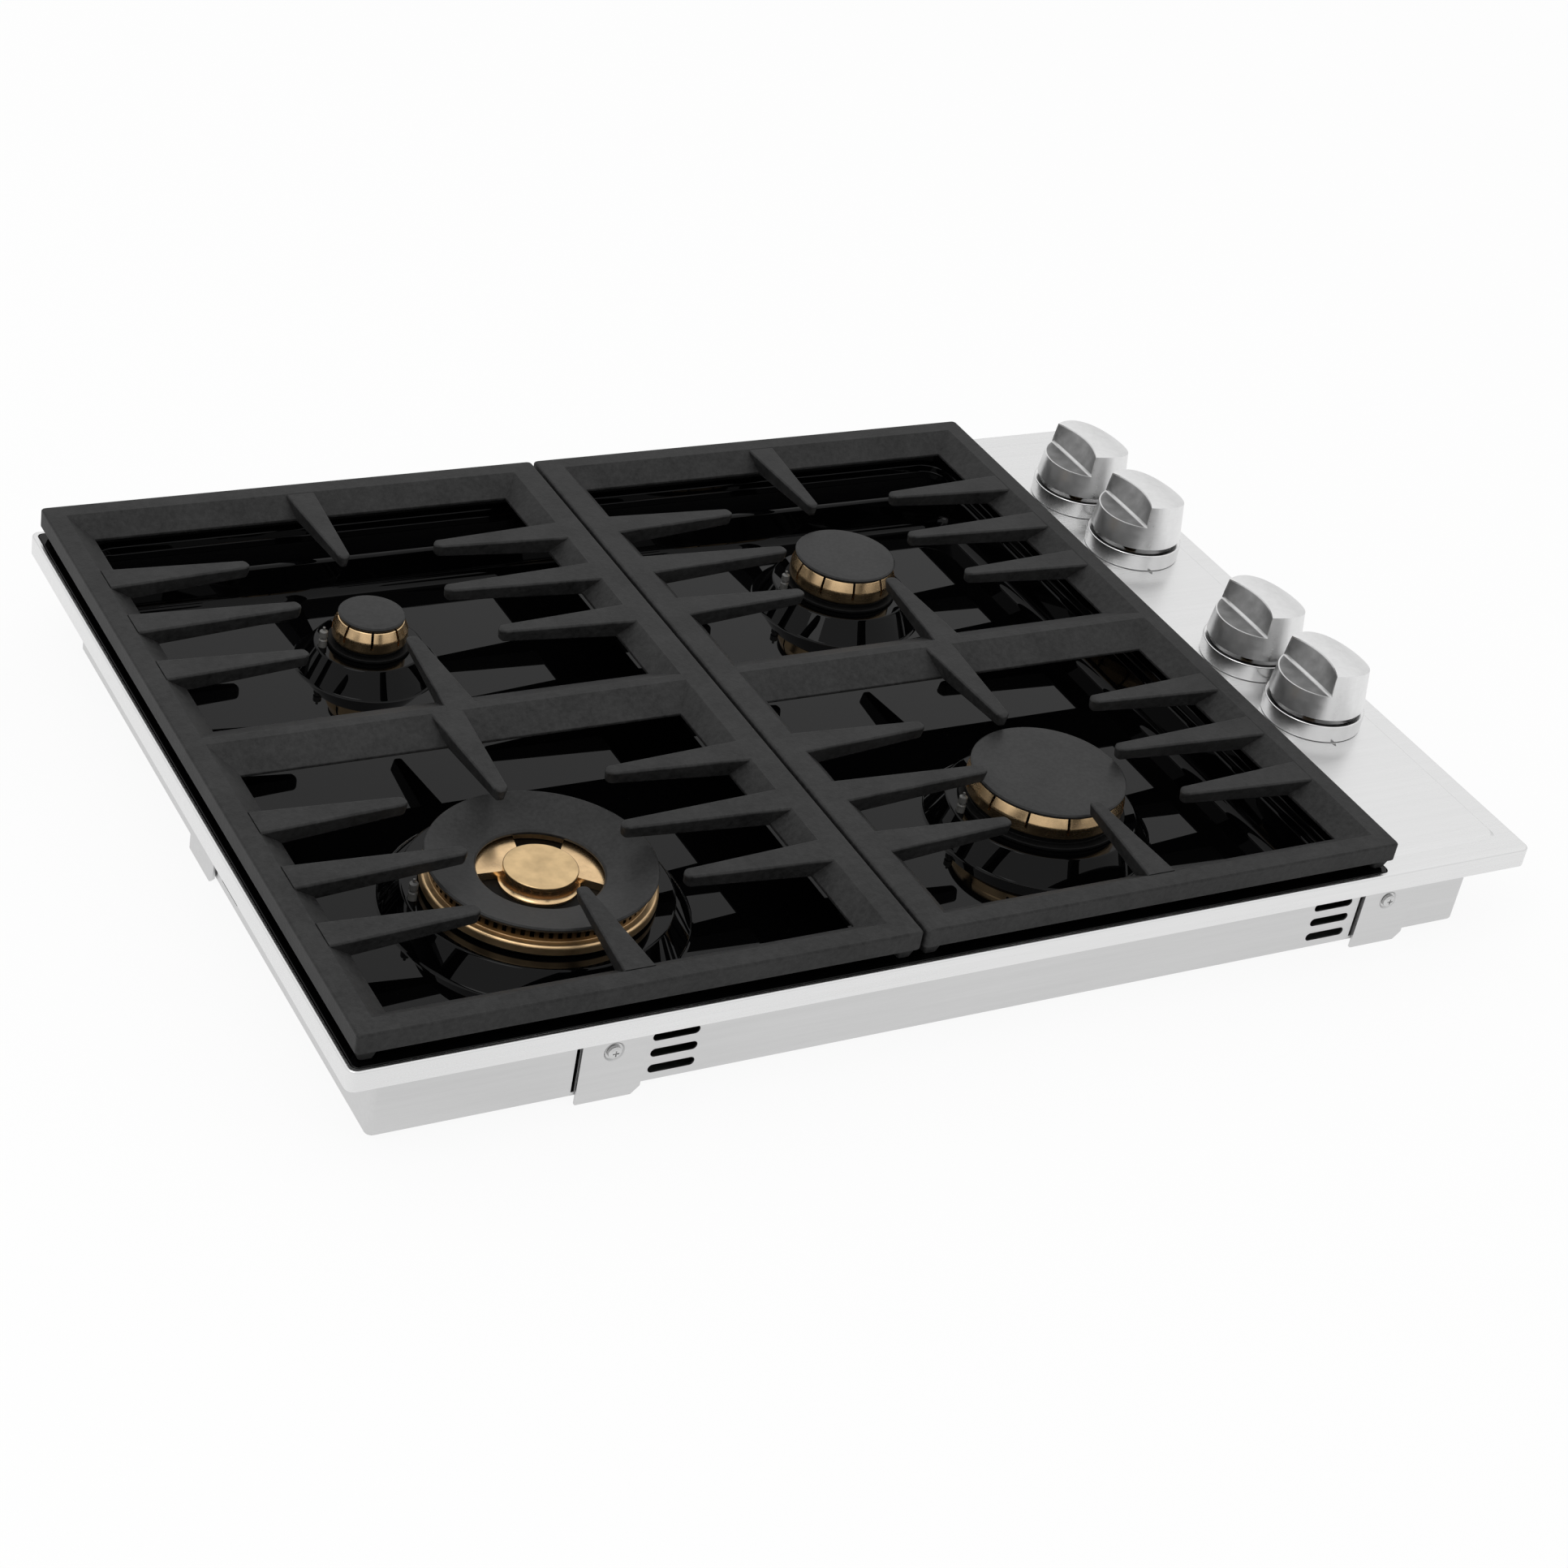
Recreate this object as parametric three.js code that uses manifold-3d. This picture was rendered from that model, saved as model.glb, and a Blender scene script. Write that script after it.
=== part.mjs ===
// Built-in gas cooktop with four burners, two cast iron grates and a control strip at the right.
// Millimetres. While it is being built x runs right, y runs back and z is measured up from the
// worktop, from the front left corner of the flange; the finished part is then moved to stand on
// its hold-down brackets with the origin under its middle.
import * as THREE from 'three';
import { mergeVertices } from 'three/addons/utils/BufferGeometryUtils.js';
import { ConvexGeometry } from 'three/addons/geometries/ConvexGeometry.js';
import Module from 'manifold-3d';

const wasm = await Module();
wasm.setup();

// ---- driving dimensions ------------------------------------------------------------------

const FIT = 0.3;                  // clearance between pieces that touch
const SHEET = 1.2;                // steel sheet of the frame, the pan and the box

// flange
const WIDTH = 762;
const DEPTH = 533.4;
const LIP_HEIGHT = 12.6;          // worktop to the top of the flange
const LIP_WIDTH = 3;              // folded edge that frames the pan
const LIP_ROUND = 1.5;
const FRAME_CORNER = 5;
const SEAL_HEIGHT = 3;
const SEAL_WIDTH = 8;
const SEAL_INSET = 4.5;

// control strip
const STRIP_WIDTH = 107;
const STRIP_RISE = 2;             // raised field above the flange
const STRIP_SLOPE = 3;            // width of the sloped step round the raised field
const STRIP_RIM_RIGHT = 14;
const STRIP_RIM_FRONT = 15;
const VALVE_WINDOW_WIDTH = 50;    // cut in the deck under the strip

// burner box
const BOX_LEFT = 20;
const BOX_FRONT = 14;
const BOX_RIGHT_OVERHANG = 30;
const BOX_BACK_OVERHANG = 45.4;
const BOX_DEPTH = 45;             // worktop to the bottom of the box
const BOX_CORNER = 4;
const BOX_FLANGE = 10;

// louvres and hold-downs
const LOUVRE_LENGTH = 28;
const LOUVRE_HEIGHT = 5.5;
const LOUVRE_PITCH = 10.8;
const LOUVRE_TOP = 15;            // worktop down to the first louvre
const LOUVRE_COUNT = 3;
const SLIT_WIDTH = 2;
const SLIT_TOP = 13;
const SLIT_MARGIN = 3;            // sheet left below the slit
const BRACKET_WIDTH = 38;
const BRACKET_TOP = 8;
const BRACKET_DROP = 5;           // how far a bracket hangs below the box
const BRACKET_CHAMFER = 5;
const BRACKET_THICKNESS = 1.6;
const BRACKET_SCREW_Z = 18;
const BRACKET_SCREW_RADIUS = 4;
const BRACKET_SCREW_HEAD = 1.8;
const FRONT_BRACKET_LEFT = 136;   // left edge of the front left bracket
const RIGHT_BRACKET_MARGIN = 80;  // left edge of the front right bracket to the box's right wall
const SIDE_BRACKET_BACK = 280;    // back edge of the brackets on the side walls
const LOUVRE_GAP = 4;             // bracket to the louvres beside it
const BESIDE_SLIT = 8;            // bracket to the louvres on the side of its slit

// spill pan
const RIM_SIDE = 20;
const RIM_FRONT = 14;
const RIM_RIGHT = 15;
const RIM_BACK = 18;
const RIM_ROLL = 4;               // width of the rolled edge inside the rim
const RIM_ROLL_DROP = 1.4;
const LEDGE_RUN = 5;              // rim edge to the foot of the first step
const POOL_RIGHT_MARGIN = 25;     // deep part of the pan to the pan's right edge
const POOL_SLOPE = 14;            // run of the sloping walls
const POOL_DEPTH = 28.1;          // flange top to the pan floor
const POOL_CORNER = 20;
const BOSS_TOP_DEPTH = 13.6;      // flange top to the flat top of a boss
const BOSS_MARGIN = 10;           // boss top beyond the brass flange
const BOSS_FLARE = 11;

// grates
const GRATE_TOP = 32;
const GRATE_HEIGHT = 12;
const GRATE_INSET = 4;            // flange edge to the grates at the left and the front
const GRATE_BACK_MARGIN = 5.1;    // back edge of the grates to the back of the flange
const GRATE_OVERLAP = 1.5;        // right grate over the edge of the control strip
const GRATE_GAP = 1.8;
const BAR_WIDTH = 26;
const BAR_RIDGE = 12;
const CENTRE_BAR_WIDTH = 28;
const CENTRE_BAR_RIDGE = 17;
const BAR_LIP = 2;                // upright inner edge below the slope
const WEB_WIDTH = 44;
const WEB_RIDGE = 6;
const WEB_AHEAD = 0.15;           // middle bar in front of the middle of the grate
const FINGER_PITCH = 50.5;
const FINGER_ROOT = 19;
const WIDE_FINGER_ROOT = 21;      // of the fingers on the side bars and the middle bar
const FINGER_TIP = 9;
const FINGER_REACH = 46;          // burner centre to the tip of a middle finger
const SIDE_FINGER_REACH = 60;
const FINGER_RISE = 3.5;          // how much the underside rises to the tip
const FINGER_DRAFT = 2;           // each side leans in by this much to the underside
const WEB_FINGER_SHIFT = 5;
const FOOT_TOP = 12;
const FOOT_BOTTOM = 8;
const FOOT_INSET = 1.5;

// burners: place of the centre, brass flange radius, cap radius and cap top above the worktop;
// the rear ones keep their place from the back edge, the right ones from the control strip
const STRIP_LEFT = WIDTH - STRIP_WIDTH;
const REAR_LEFT_MARGIN = 142.6;
const REAR_RIGHT_MARGIN = 142.4;
const REAR_RIGHT_TO_STRIP = 160.5;
const FRONT_RIGHT_TO_STRIP = 161;
const REAR_LEFT = {
  x: 165.4, y: DEPTH - REAR_LEFT_MARGIN, flange: 22.8, cap: 20.4, top: 20.5, seat: 4, ports: 8,
};
const REAR_RIGHT = {
  x: STRIP_LEFT - REAR_RIGHT_TO_STRIP,
  y: DEPTH - REAR_RIGHT_MARGIN,
  flange: 34.2, cap: 33, top: 21.9, seat: 4.2, ports: 10,
};
const FRONT_RIGHT = {
  x: STRIP_LEFT - FRONT_RIGHT_TO_STRIP, y: 136, flange: 48.2, cap: 47.4, top: 22.3, seat: 5.9, ports: 12,
};
const DUAL = { x: 164.5, y: 136.8, flange: 66, cap: 65, top: 17.6, seat: 1, ports: 24 };
const CAP_THICKNESS = 2.8;
const CAP_EDGE = 0.8;
const CAP_SPIGOT = 3;
const HEAD_WALL = 3;
const HEAD_FLOOR = 3;
const HEAD_FLANGE = 2.6;          // height of the widest part of the brass head
const HEAD_STEP = 1.2;
const PORT_WIDTH = 2.4;
const PORT_HEIGHT = 6;
const THROAT_RADIUS = 8.4;
const THROAT_BORE = 6;
const THROAT_HEIGHT = 5;
const BASE_MARGIN = 2.5;          // base beyond the brass flange
const BASE_SHEET = 2;
const BARREL_RADIUS = 11;
const ORIFICE_RADIUS = 9;
const ORIFICE_BOTTOM = 33;        // worktop down to the end of the orifice holder
const ORIFICE_END = 6;            // solid end of the orifice holder
const NIPPLE_RADIUS = 5.2;
const NIPPLE_REACH = 14;
const RING_HOLE = 36.8;           // hole of the ring cap
const RING_WALL = 4;
const RING_PORT_WIDTH = 2.2;
const RING_PORT_HEIGHT = 3;
const RING_ORIFICE_OFFSET = 50;
const INNER_CAP_RADIUS = 21;
const INNER_CAP_TOP = 12;
const INNER_CAP_THICKNESS = 2.4;
const INNER_CAP_SPIGOT = 1.5;
const INNER_HEAD_RADIUS = 22;
const INNER_STEP_RADIUS = 25;
const WING_TOP = 6;
const WING_COUNT = 3;
const WING_SPAN = 71;             // degrees
const WING_START = 92;
const INNER_PORTS = 9;
const INNER_PORT_HEIGHT = 2;
const INNER_PORT_TURN = 20;       // degrees

// igniters
const IGNITER_RADIUS = 2.6;
const IGNITER_TOP = 10;
const IGNITER_BOTTOM = 14;
const IGNITER_OFFSET = 6;         // brass flange to the igniter's axis
const IGNITER_ANGLE = 175;
const IGNITER_PIN = 0.8;
const IGNITER_PIN_LENGTH = 2;

// knobs, from the back to the front
const KNOB_SHIFT = 0.3;           // knob axes right of the middle of the strip
const KNOB_BACK_MARGIN = 92.9;    // rearmost knob to the back edge
const KNOB_PITCH = 70;
const KNOB_PAIR_GAP = 141;        // between the two middle knobs
const KNOB_RADIUS = 30.6;
const KNOB_TOP_RADIUS = 26.8;
const KNOB_HEIGHT = 30.7;
const KNOB_CHAMFER = 1.2;
const KNOB_WALL = 3.5;
const KNOB_CAVITY = 12;
const KNOB_CROWN = 80;            // radius of the bowed top, which falls away to the right
const CROWN_LEFT = 5;             // crest of the top, left of the axis
const CROWN_STEP = 4;
const KNOB_SCOOP_DEPTH = 14.5;
const SCOOP_CHORD = 12;           // straight edge of the scoop's floor, left of the axis
const SCOOP_BULGE = 4;            // top edge of the scoop at the middle
const SCOOP_END = 11.5;           // top edge of the scoop at its ends
const SCOOP_HALF = 25;
const HUB_RADIUS = 8;
const HUB_DROP = 9;
const HUB_DEPTH = 20;
const PUSH_TRAVEL = 3;
const BEZEL_RADIUS = 32;
const BEZEL_WALL = 3.8;
const BEZEL_HEIGHT = 11.1;
const BEZEL_EDGE = 0.8;

// valves, manifold and tubes
const STEM_RADIUS = 4;
const STEM_FLAT = 2.6;
const STEM_HOLE = 5.2;
const PLATE_RADIUS = 9;
const PLATE_THICKNESS = 4;
const PLATE_TOP = 4;              // worktop down to the push plate
const VALVE_TOP = 2;
const VALVE_CUP_WALL = 3;
const VALVE_BLOCK = 24;
const VALVE_CORNER = 3;
const VALVE_BLOCK_TOP = 12;
const VALVE_OUTLET = 20;          // stem axis to the end of the outlet
const TWIN_OUTLET = 6.5;
const TUBE_LEVEL = 23;            // worktop down to the tubes' axes
const TUBE_RADIUS = 4;
const TUBE_BEND = 30;
const TUBE_STEP = 30;
const MANIFOLD_RADIUS = 7;
const MANIFOLD_BORE = 5;
const MANIFOLD_CLEARANCE = 0.8;   // above the sheet of the box
const MANIFOLD_FRONT = 60;
const MANIFOLD_PLUG = 3;          // closed front end
const UNION_FLATS = 24;
const UNION_LENGTH = 18;
const UNION_GAP = 6;              // box wall to the union
const UNION_TAIL = 4;

// spark module
const SPARK_MARGIN = 166;         // left end of the module to the box's right wall
const SPARK_Y = 30;
const SPARK_LENGTH = 60;
const SPARK_WIDTH = 40;
const SPARK_HEIGHT = 18;
const SPARK_CORNER = 3;
const SPARK_POST = 3;
const SPARK_POST_HEIGHT = 4;
const SPARK_POSTS = 4;

// facets
const CORNER_STEPS = 2;
const WIDE_ROUND = 28;
const ROUND = 20;
const SMALL_ROUND = 8;
const TUBE_SIDES = 6;

// ---- worked out from the driving dimensions ----------------------------------------------

const BOX_RIGHT = WIDTH - BOX_RIGHT_OVERHANG;
const BOX_BACK = DEPTH - BOX_BACK_OVERHANG;
const DECK_BOTTOM = SEAL_HEIGHT + FIT;
const DECK_TOP = DECK_BOTTOM + SHEET;
const STRIP_TOP = LIP_HEIGHT + STRIP_RISE;
const FRONT_BRACKET_RIGHT = BOX_RIGHT - RIGHT_BRACKET_MARGIN;

const PAN = {
  x0: LIP_WIDTH + FIT,
  y0: LIP_WIDTH + FIT,
  x1: STRIP_LEFT - FIT,
  y1: DEPTH - LIP_WIDTH - FIT,
};
const PAN_FOOT = DECK_TOP + FIT;
const LEDGE_LEVEL = PAN_FOOT + SHEET;
const FLOOR_LEVEL = LIP_HEIGHT - POOL_DEPTH;
const BOSS_LEVEL = LIP_HEIGHT - BOSS_TOP_DEPTH;
const POOL = {
  x0: BOX_LEFT + BOX_FLANGE + FIT + SHEET,
  y0: BOX_FRONT + BOX_FLANGE + FIT + SHEET,
  x1: PAN.x1 - POOL_RIGHT_MARGIN,
  y1: BOX_BACK - BOX_FLANGE - FIT - SHEET,
};
const APERTURE = {
  x0: POOL.x0 - SHEET - FIT,
  y0: POOL.y0 - SHEET - FIT,
  x1: POOL.x1 + SHEET + FIT,
  y1: POOL.y1 + SHEET + FIT,
};

const GRATE_WIDTH = (STRIP_LEFT + GRATE_OVERLAP - GRATE_INSET - GRATE_GAP) / 2;
const GRATE_DEPTH = DEPTH - GRATE_INSET - GRATE_BACK_MARGIN;
const FRONT_CELL = (GRATE_DEPTH - WEB_WIDTH) / 2 - BAR_WIDTH - WEB_AHEAD;

const KNOB_X = WIDTH - STRIP_WIDTH / 2 + KNOB_SHIFT;
const KNOB_Y_BACK = DEPTH - KNOB_BACK_MARGIN;
const BEZEL_BOTTOM = STRIP_TOP + FIT;
const BEZEL_TOP = BEZEL_BOTTOM + BEZEL_HEIGHT;
const KNOB_BOTTOM = BEZEL_TOP + PUSH_TRAVEL + FIT;
const KNOB_TOP = KNOB_BOTTOM + KNOB_HEIGHT;
const HUB_BOTTOM = KNOB_BOTTOM - HUB_DROP;
const KNOBS = [
  KNOB_Y_BACK,
  KNOB_Y_BACK - KNOB_PITCH,
  KNOB_Y_BACK - KNOB_PITCH - KNOB_PAIR_GAP,
  KNOB_Y_BACK - 2 * KNOB_PITCH - KNOB_PAIR_GAP,
];
const STEM_BOTTOM = -PLATE_TOP - PLATE_THICKNESS - 2;
const STEM_TOP = HUB_BOTTOM + HUB_DEPTH - FIT;
const CUP_BOTTOM = STEM_BOTTOM - PUSH_TRAVEL - 1;
const MANIFOLD_LEVEL = BOX_DEPTH - SHEET - MANIFOLD_CLEARANCE - MANIFOLD_RADIUS;
const VALVE_BOTTOM = -MANIFOLD_LEVEL + MANIFOLD_RADIUS + FIT;
const SPARK_X = BOX_RIGHT - SPARK_MARGIN;

// ---- materials ---------------------------------------------------------------------------

const finish = (color, roughness, metalness) =>
  new THREE.MeshStandardMaterial({ color, roughness, metalness });
const STEEL = finish(0xd9dadb, 0.35, 0.9);
const BOX_STEEL = finish(0xc8c9ca, 0.45, 0.9);
const PORCELAIN = finish(0x060606, 0.08, 0);
const IRON = finish(0x343536, 0.6, 0.1);
const ENAMEL = finish(0x2c2d2f, 0.5, 0.1);
const BRASS = finish(0xc79a55, 0.3, 1);
const CASTING = finish(0x1b1b1c, 0.5, 0.6);
const CERAMIC = finish(0xe9e6df, 0.4, 0);
const ALUMINIUM = finish(0xb9bcbf, 0.4, 0.9);
const PLASTIC = finish(0x26282b, 0.6, 0);
const FOAM = finish(0x1c1c1c, 0.95, 0);

// ---- solids ------------------------------------------------------------------------------

// a closed geometry becomes a solid, with its faces turned outwards
function solid(geometry) {
  const bare = new THREE.BufferGeometry();
  bare.setAttribute('position', geometry.attributes.position.clone());
  if (geometry.index) bare.setIndex(geometry.index.clone());
  const merged = mergeVertices(bare, 1e-4);
  const points = merged.attributes.position.array;
  const corners = merged.index.array;
  const faces = [];
  let volume = 0;
  const at = (i) => new THREE.Vector3().fromArray(points, 3 * i);
  for (let i = 0; i < corners.length; i += 3) {
    const [a, b, c] = corners.slice(i, i + 3);
    if (a === b || b === c || c === a) continue;
    faces.push([a, b, c]);
    volume += at(a).dot(at(b).cross(at(c)));
  }
  const order = volume < 0 ? ([a, b, c]) => [a, c, b] : (face) => face;
  return new wasm.Manifold(new wasm.Mesh({
    numProp: 3,
    vertProperties: Float32Array.from(points),
    triVerts: Uint32Array.from(faces.flatMap(order)),
  }));
}

const join = (...pieces) => pieces.reduce((whole, piece) => whole.add(piece));
const cut = (whole, ...tools) => tools.reduce((rest, tool) => rest.subtract(tool), whole);

// corners of a rectangle, counter-clockwise, each rounded by a quarter circle
function cornerPoints(x0, y0, x1, y1, radius, steps = CORNER_STEPS) {
  const centres = [
    [x1 - radius, y0 + radius],
    [x1 - radius, y1 - radius],
    [x0 + radius, y1 - radius],
    [x0 + radius, y0 + radius],
  ];
  const points = [];
  centres.forEach(([x, y], quarter) => {
    for (let i = 0; i <= steps; i += 1) {
      const angle = (Math.PI / 2) * (quarter - 1 + i / steps);
      points.push(new THREE.Vector2(x + radius * Math.cos(angle), y + radius * Math.sin(angle)));
    }
  });
  return points;
}

function rectangle(x0, y0, x1, y1, radius = 0, steps = CORNER_STEPS) {
  if (radius > 0) return new THREE.Shape(cornerPoints(x0, y0, x1, y1, radius, steps));
  const shape = new THREE.Shape();
  shape.moveTo(x0, y0).lineTo(x1, y0).lineTo(x1, y1).lineTo(x0, y1);
  return shape;
}

// a flat outline pulled up from one level to another
function prism(shape, bottom, top) {
  const geometry = new THREE.ExtrudeGeometry(shape, {
    depth: top - bottom,
    bevelEnabled: false,
    curveSegments: CORNER_STEPS,
  });
  return solid(geometry.translate(0, 0, bottom));
}

// the same outline pulled along x or along y instead
const prismX = (shape, from, to) => prism(shape, from, to).rotate([90, 0, 90]);
const prismY = (shape, from, to) => prism(shape, -to, -from).rotate([90, 0, 0]);

const block = (x0, x1, y0, y1, z0, z1) => prism(rectangle(x0, y0, x1, y1), z0, z1);

// closed skin through level outlines with the same number of points
function loft(sections) {
  const count = sections[0].points.length;
  const positions = [];
  const place = (section, i) => {
    const point = section.points[i % count];
    positions.push(point.x, point.y, section.level);
  };
  for (let s = 0; s + 1 < sections.length; s += 1) {
    for (let i = 0; i < count; i += 1) {
      place(sections[s], i);
      place(sections[s], i + 1);
      place(sections[s + 1], i + 1);
      place(sections[s], i);
      place(sections[s + 1], i + 1);
      place(sections[s + 1], i);
    }
  }
  const first = sections[0];
  const last = sections[sections.length - 1];
  for (const [a, b, c] of THREE.ShapeUtils.triangulateShape(first.points, [])) {
    [a, c, b].forEach((i) => place(first, i));
  }
  for (const [a, b, c] of THREE.ShapeUtils.triangulateShape(last.points, [])) {
    [a, b, c].forEach((i) => place(last, i));
  }
  const geometry = new THREE.BufferGeometry();
  geometry.setAttribute('position', new THREE.Float32BufferAttribute(positions, 3));
  return solid(geometry);
}

// level outline of a rounded rectangle, grown on every side by margin
function section(area, level, radius, margin = 0) {
  const corner = Math.max(radius + margin, 0.5);
  const low = [area.x0 - margin, area.y0 - margin];
  const high = [area.x1 + margin, area.y1 + margin];
  return { points: cornerPoints(...low, ...high, corner), level };
}

// a profile of [radius, level] pairs turned about the z axis
function turned(profile, segments = ROUND) {
  const points = profile.map(([radius, level]) => new THREE.Vector2(radius, level));
  return solid(new THREE.LatheGeometry(points, segments).rotateX(Math.PI / 2));
}

const rod = (radius, bottom, top, segments = ROUND) =>
  turned([[0, bottom], [radius, bottom], [radius, top], [0, top]], segments);

const ring = (outer, inner, bottom, top, segments = ROUND) =>
  turned([[inner, bottom], [outer, bottom], [outer, top], [inner, top], [inner, bottom]], segments);

const cone = (low, high, bottom, top, segments = ROUND) =>
  turned([[0, bottom], [low, bottom], [high, top], [0, top]], segments);

// a round bar lying along x or along y
const rodX = (radius, from, to, y, z) =>
  rod(radius, from, to, SMALL_ROUND).rotate([0, 90, 0]).translate([0, y, z]);
const rodY = (radius, from, to, x, z) =>
  rod(radius, -to, -from, SMALL_ROUND).rotate([90, 0, 0]).translate([x, 0, z]);

const hull = (points) =>
  solid(new ConvexGeometry(points.map(([x, y, z]) => new THREE.Vector3(x, y, z))));

function radians(degrees) {
  return THREE.MathUtils.degToRad(degrees);
}

// ---- frame, pan and box ------------------------------------------------------------------

const FLANGE = { x0: 0, y0: 0, x1: WIDTH, y1: DEPTH };
const STRIP_FIELD = {
  x0: STRIP_LEFT + STRIP_SLOPE,
  y0: STRIP_RIM_FRONT,
  x1: WIDTH - STRIP_RIM_RIGHT,
  y1: DEPTH - STRIP_RIM_FRONT,
};

// raised field of the control strip, sunk by drop and shrunk by margin for its inside
function stripField(drop, margin) {
  const radius = STRIP_SLOPE + 1;
  return loft([
    section(STRIP_FIELD, DECK_TOP + SHEET, radius, -margin),
    section(STRIP_FIELD, LIP_HEIGHT - drop, radius, -margin),
    section(STRIP_FIELD, STRIP_TOP - drop, radius, -margin - STRIP_SLOPE),
  ]);
}

function topFrame() {
  const outside = loft([
    section(FLANGE, 0, FRAME_CORNER),
    section(FLANGE, LIP_HEIGHT - LIP_ROUND, FRAME_CORNER),
    section(FLANGE, LIP_HEIGHT - LIP_ROUND * 0.3, FRAME_CORNER, -LIP_ROUND * 0.3),
    section(FLANGE, LIP_HEIGHT, FRAME_CORNER, -LIP_ROUND),
  ]);
  const under = loft([
    section(FLANGE, -1, FRAME_CORNER, -SHEET),
    section(FLANGE, DECK_BOTTOM, FRAME_CORNER, -SHEET),
  ]);
  const panRoom = prism(
    rectangle(LIP_WIDTH, LIP_WIDTH, STRIP_LEFT, DEPTH - LIP_WIDTH, FRAME_CORNER - 1),
    DECK_TOP, LIP_HEIGHT + 1,
  );
  const stripRoom = block(
    STRIP_LEFT + SHEET, WIDTH - SHEET - LIP_ROUND, SHEET + LIP_ROUND, DEPTH - SHEET - LIP_ROUND,
    DECK_TOP, LIP_HEIGHT - SHEET,
  );
  const poolHole = prism(
    rectangle(APERTURE.x0, APERTURE.y0, APERTURE.x1, APERTURE.y1, POOL_CORNER), 0, DECK_TOP + 1,
  );
  const window = block(
    BOX_RIGHT - BOX_FLANGE - VALVE_WINDOW_WIDTH, BOX_RIGHT - BOX_FLANGE,
    APERTURE.y0, APERTURE.y1, 0, DECK_TOP + 1,
  );
  const stemHoles = KNOBS.map((y) =>
    rod(STEM_HOLE, DECK_TOP, STRIP_TOP + 1, SMALL_ROUND).translate([KNOB_X, y, 0]));
  const shell = join(cut(outside, under, panRoom, stripRoom), stripField(0, 0));
  return cut(shell, stripField(SHEET, SHEET), poolHole, window, ...stemHoles);
}

// inner skin of the pan; skin is how far outside and below it the surface lies
function basin(skin) {
  const rim = {
    x0: PAN.x0 + RIM_SIDE,
    y0: PAN.y0 + RIM_FRONT,
    x1: PAN.x1 - RIM_RIGHT,
    y1: PAN.y1 - RIM_BACK,
  };
  const corner = POOL_CORNER;
  const top = skin > 0 ? [] : [section(rim, LIP_HEIGHT + 1, corner)];
  return loft([
    section(POOL, FLOOR_LEVEL - skin, corner, skin - POOL_SLOPE),
    section(POOL, LEDGE_LEVEL - skin, corner, skin),
    section(rim, LEDGE_LEVEL - skin + 0.01, corner, skin - LEDGE_RUN),
    section(rim, LIP_HEIGHT - RIM_ROLL_DROP - skin, corner, skin - RIM_ROLL),
    section(rim, LIP_HEIGHT - skin, corner, skin),
    ...top,
  ]);
}

// boss that lifts a burner clear of the pan floor; skin as for the basin
function boss(burner, skin) {
  const topRadius = burner.flange + BOSS_MARGIN - skin;
  const low = FLOOR_LEVEL - SHEET - (skin > 0 ? 1 : 0);
  return cone(topRadius + BOSS_FLARE, topRadius, low, BOSS_LEVEL - skin)
    .translate([burner.x, burner.y, 0]);
}

function igniterPlace(burner) {
  const reach = burner.flange + IGNITER_OFFSET;
  const angle = radians(IGNITER_ANGLE);
  return [burner.x + reach * Math.cos(angle), burner.y + reach * Math.sin(angle), 0];
}

function spillPan(burners) {
  const slab = prism(rectangle(PAN.x0, PAN.y0, PAN.x1, PAN.y1, FRAME_CORNER - 1), PAN_FOOT, LIP_HEIGHT);
  const under = prism(
    rectangle(PAN.x0 + SHEET, PAN.y0 + SHEET, PAN.x1 - SHEET, PAN.y1 - SHEET, FRAME_CORNER - 2),
    PAN_FOOT - 1, LIP_HEIGHT - SHEET,
  );
  let pan = join(cut(slab, under), basin(SHEET)).subtract(basin(0));
  for (const burner of burners) {
    pan = cut(pan.add(boss(burner, 0)), boss(burner, SHEET));
  }
  const barrels = burners.map((burner) =>
    rod(BARREL_RADIUS + FIT, FLOOR_LEVEL, 0).translate([burner.x, burner.y, 0]));
  const ringBarrel = rod(BARREL_RADIUS + FIT, FLOOR_LEVEL, 0)
    .translate([DUAL.x + RING_ORIFICE_OFFSET, DUAL.y, 0]);
  const pins = burners.map((burner) =>
    rod(IGNITER_RADIUS + FIT, FLOOR_LEVEL, 0, SMALL_ROUND).translate(igniterPlace(burner)));
  return cut(pan, ...barrels, ringBarrel, ...pins);
}

// three slots one under another, in a wall seen from the front; left is their left end
function louvres(left) {
  const tools = [];
  for (let i = 0; i < LOUVRE_COUNT; i += 1) {
    const middle = -LOUVRE_TOP - i * LOUVRE_PITCH;
    tools.push(rectangle(left, middle - LOUVRE_HEIGHT / 2, left + LOUVRE_LENGTH,
      middle + LOUVRE_HEIGHT / 2, LOUVRE_HEIGHT / 2 - 0.01));
  }
  return tools;
}

const slit = (left) =>
  rectangle(left, -BOX_DEPTH + SLIT_MARGIN, left + SLIT_WIDTH, -SLIT_TOP);

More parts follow.
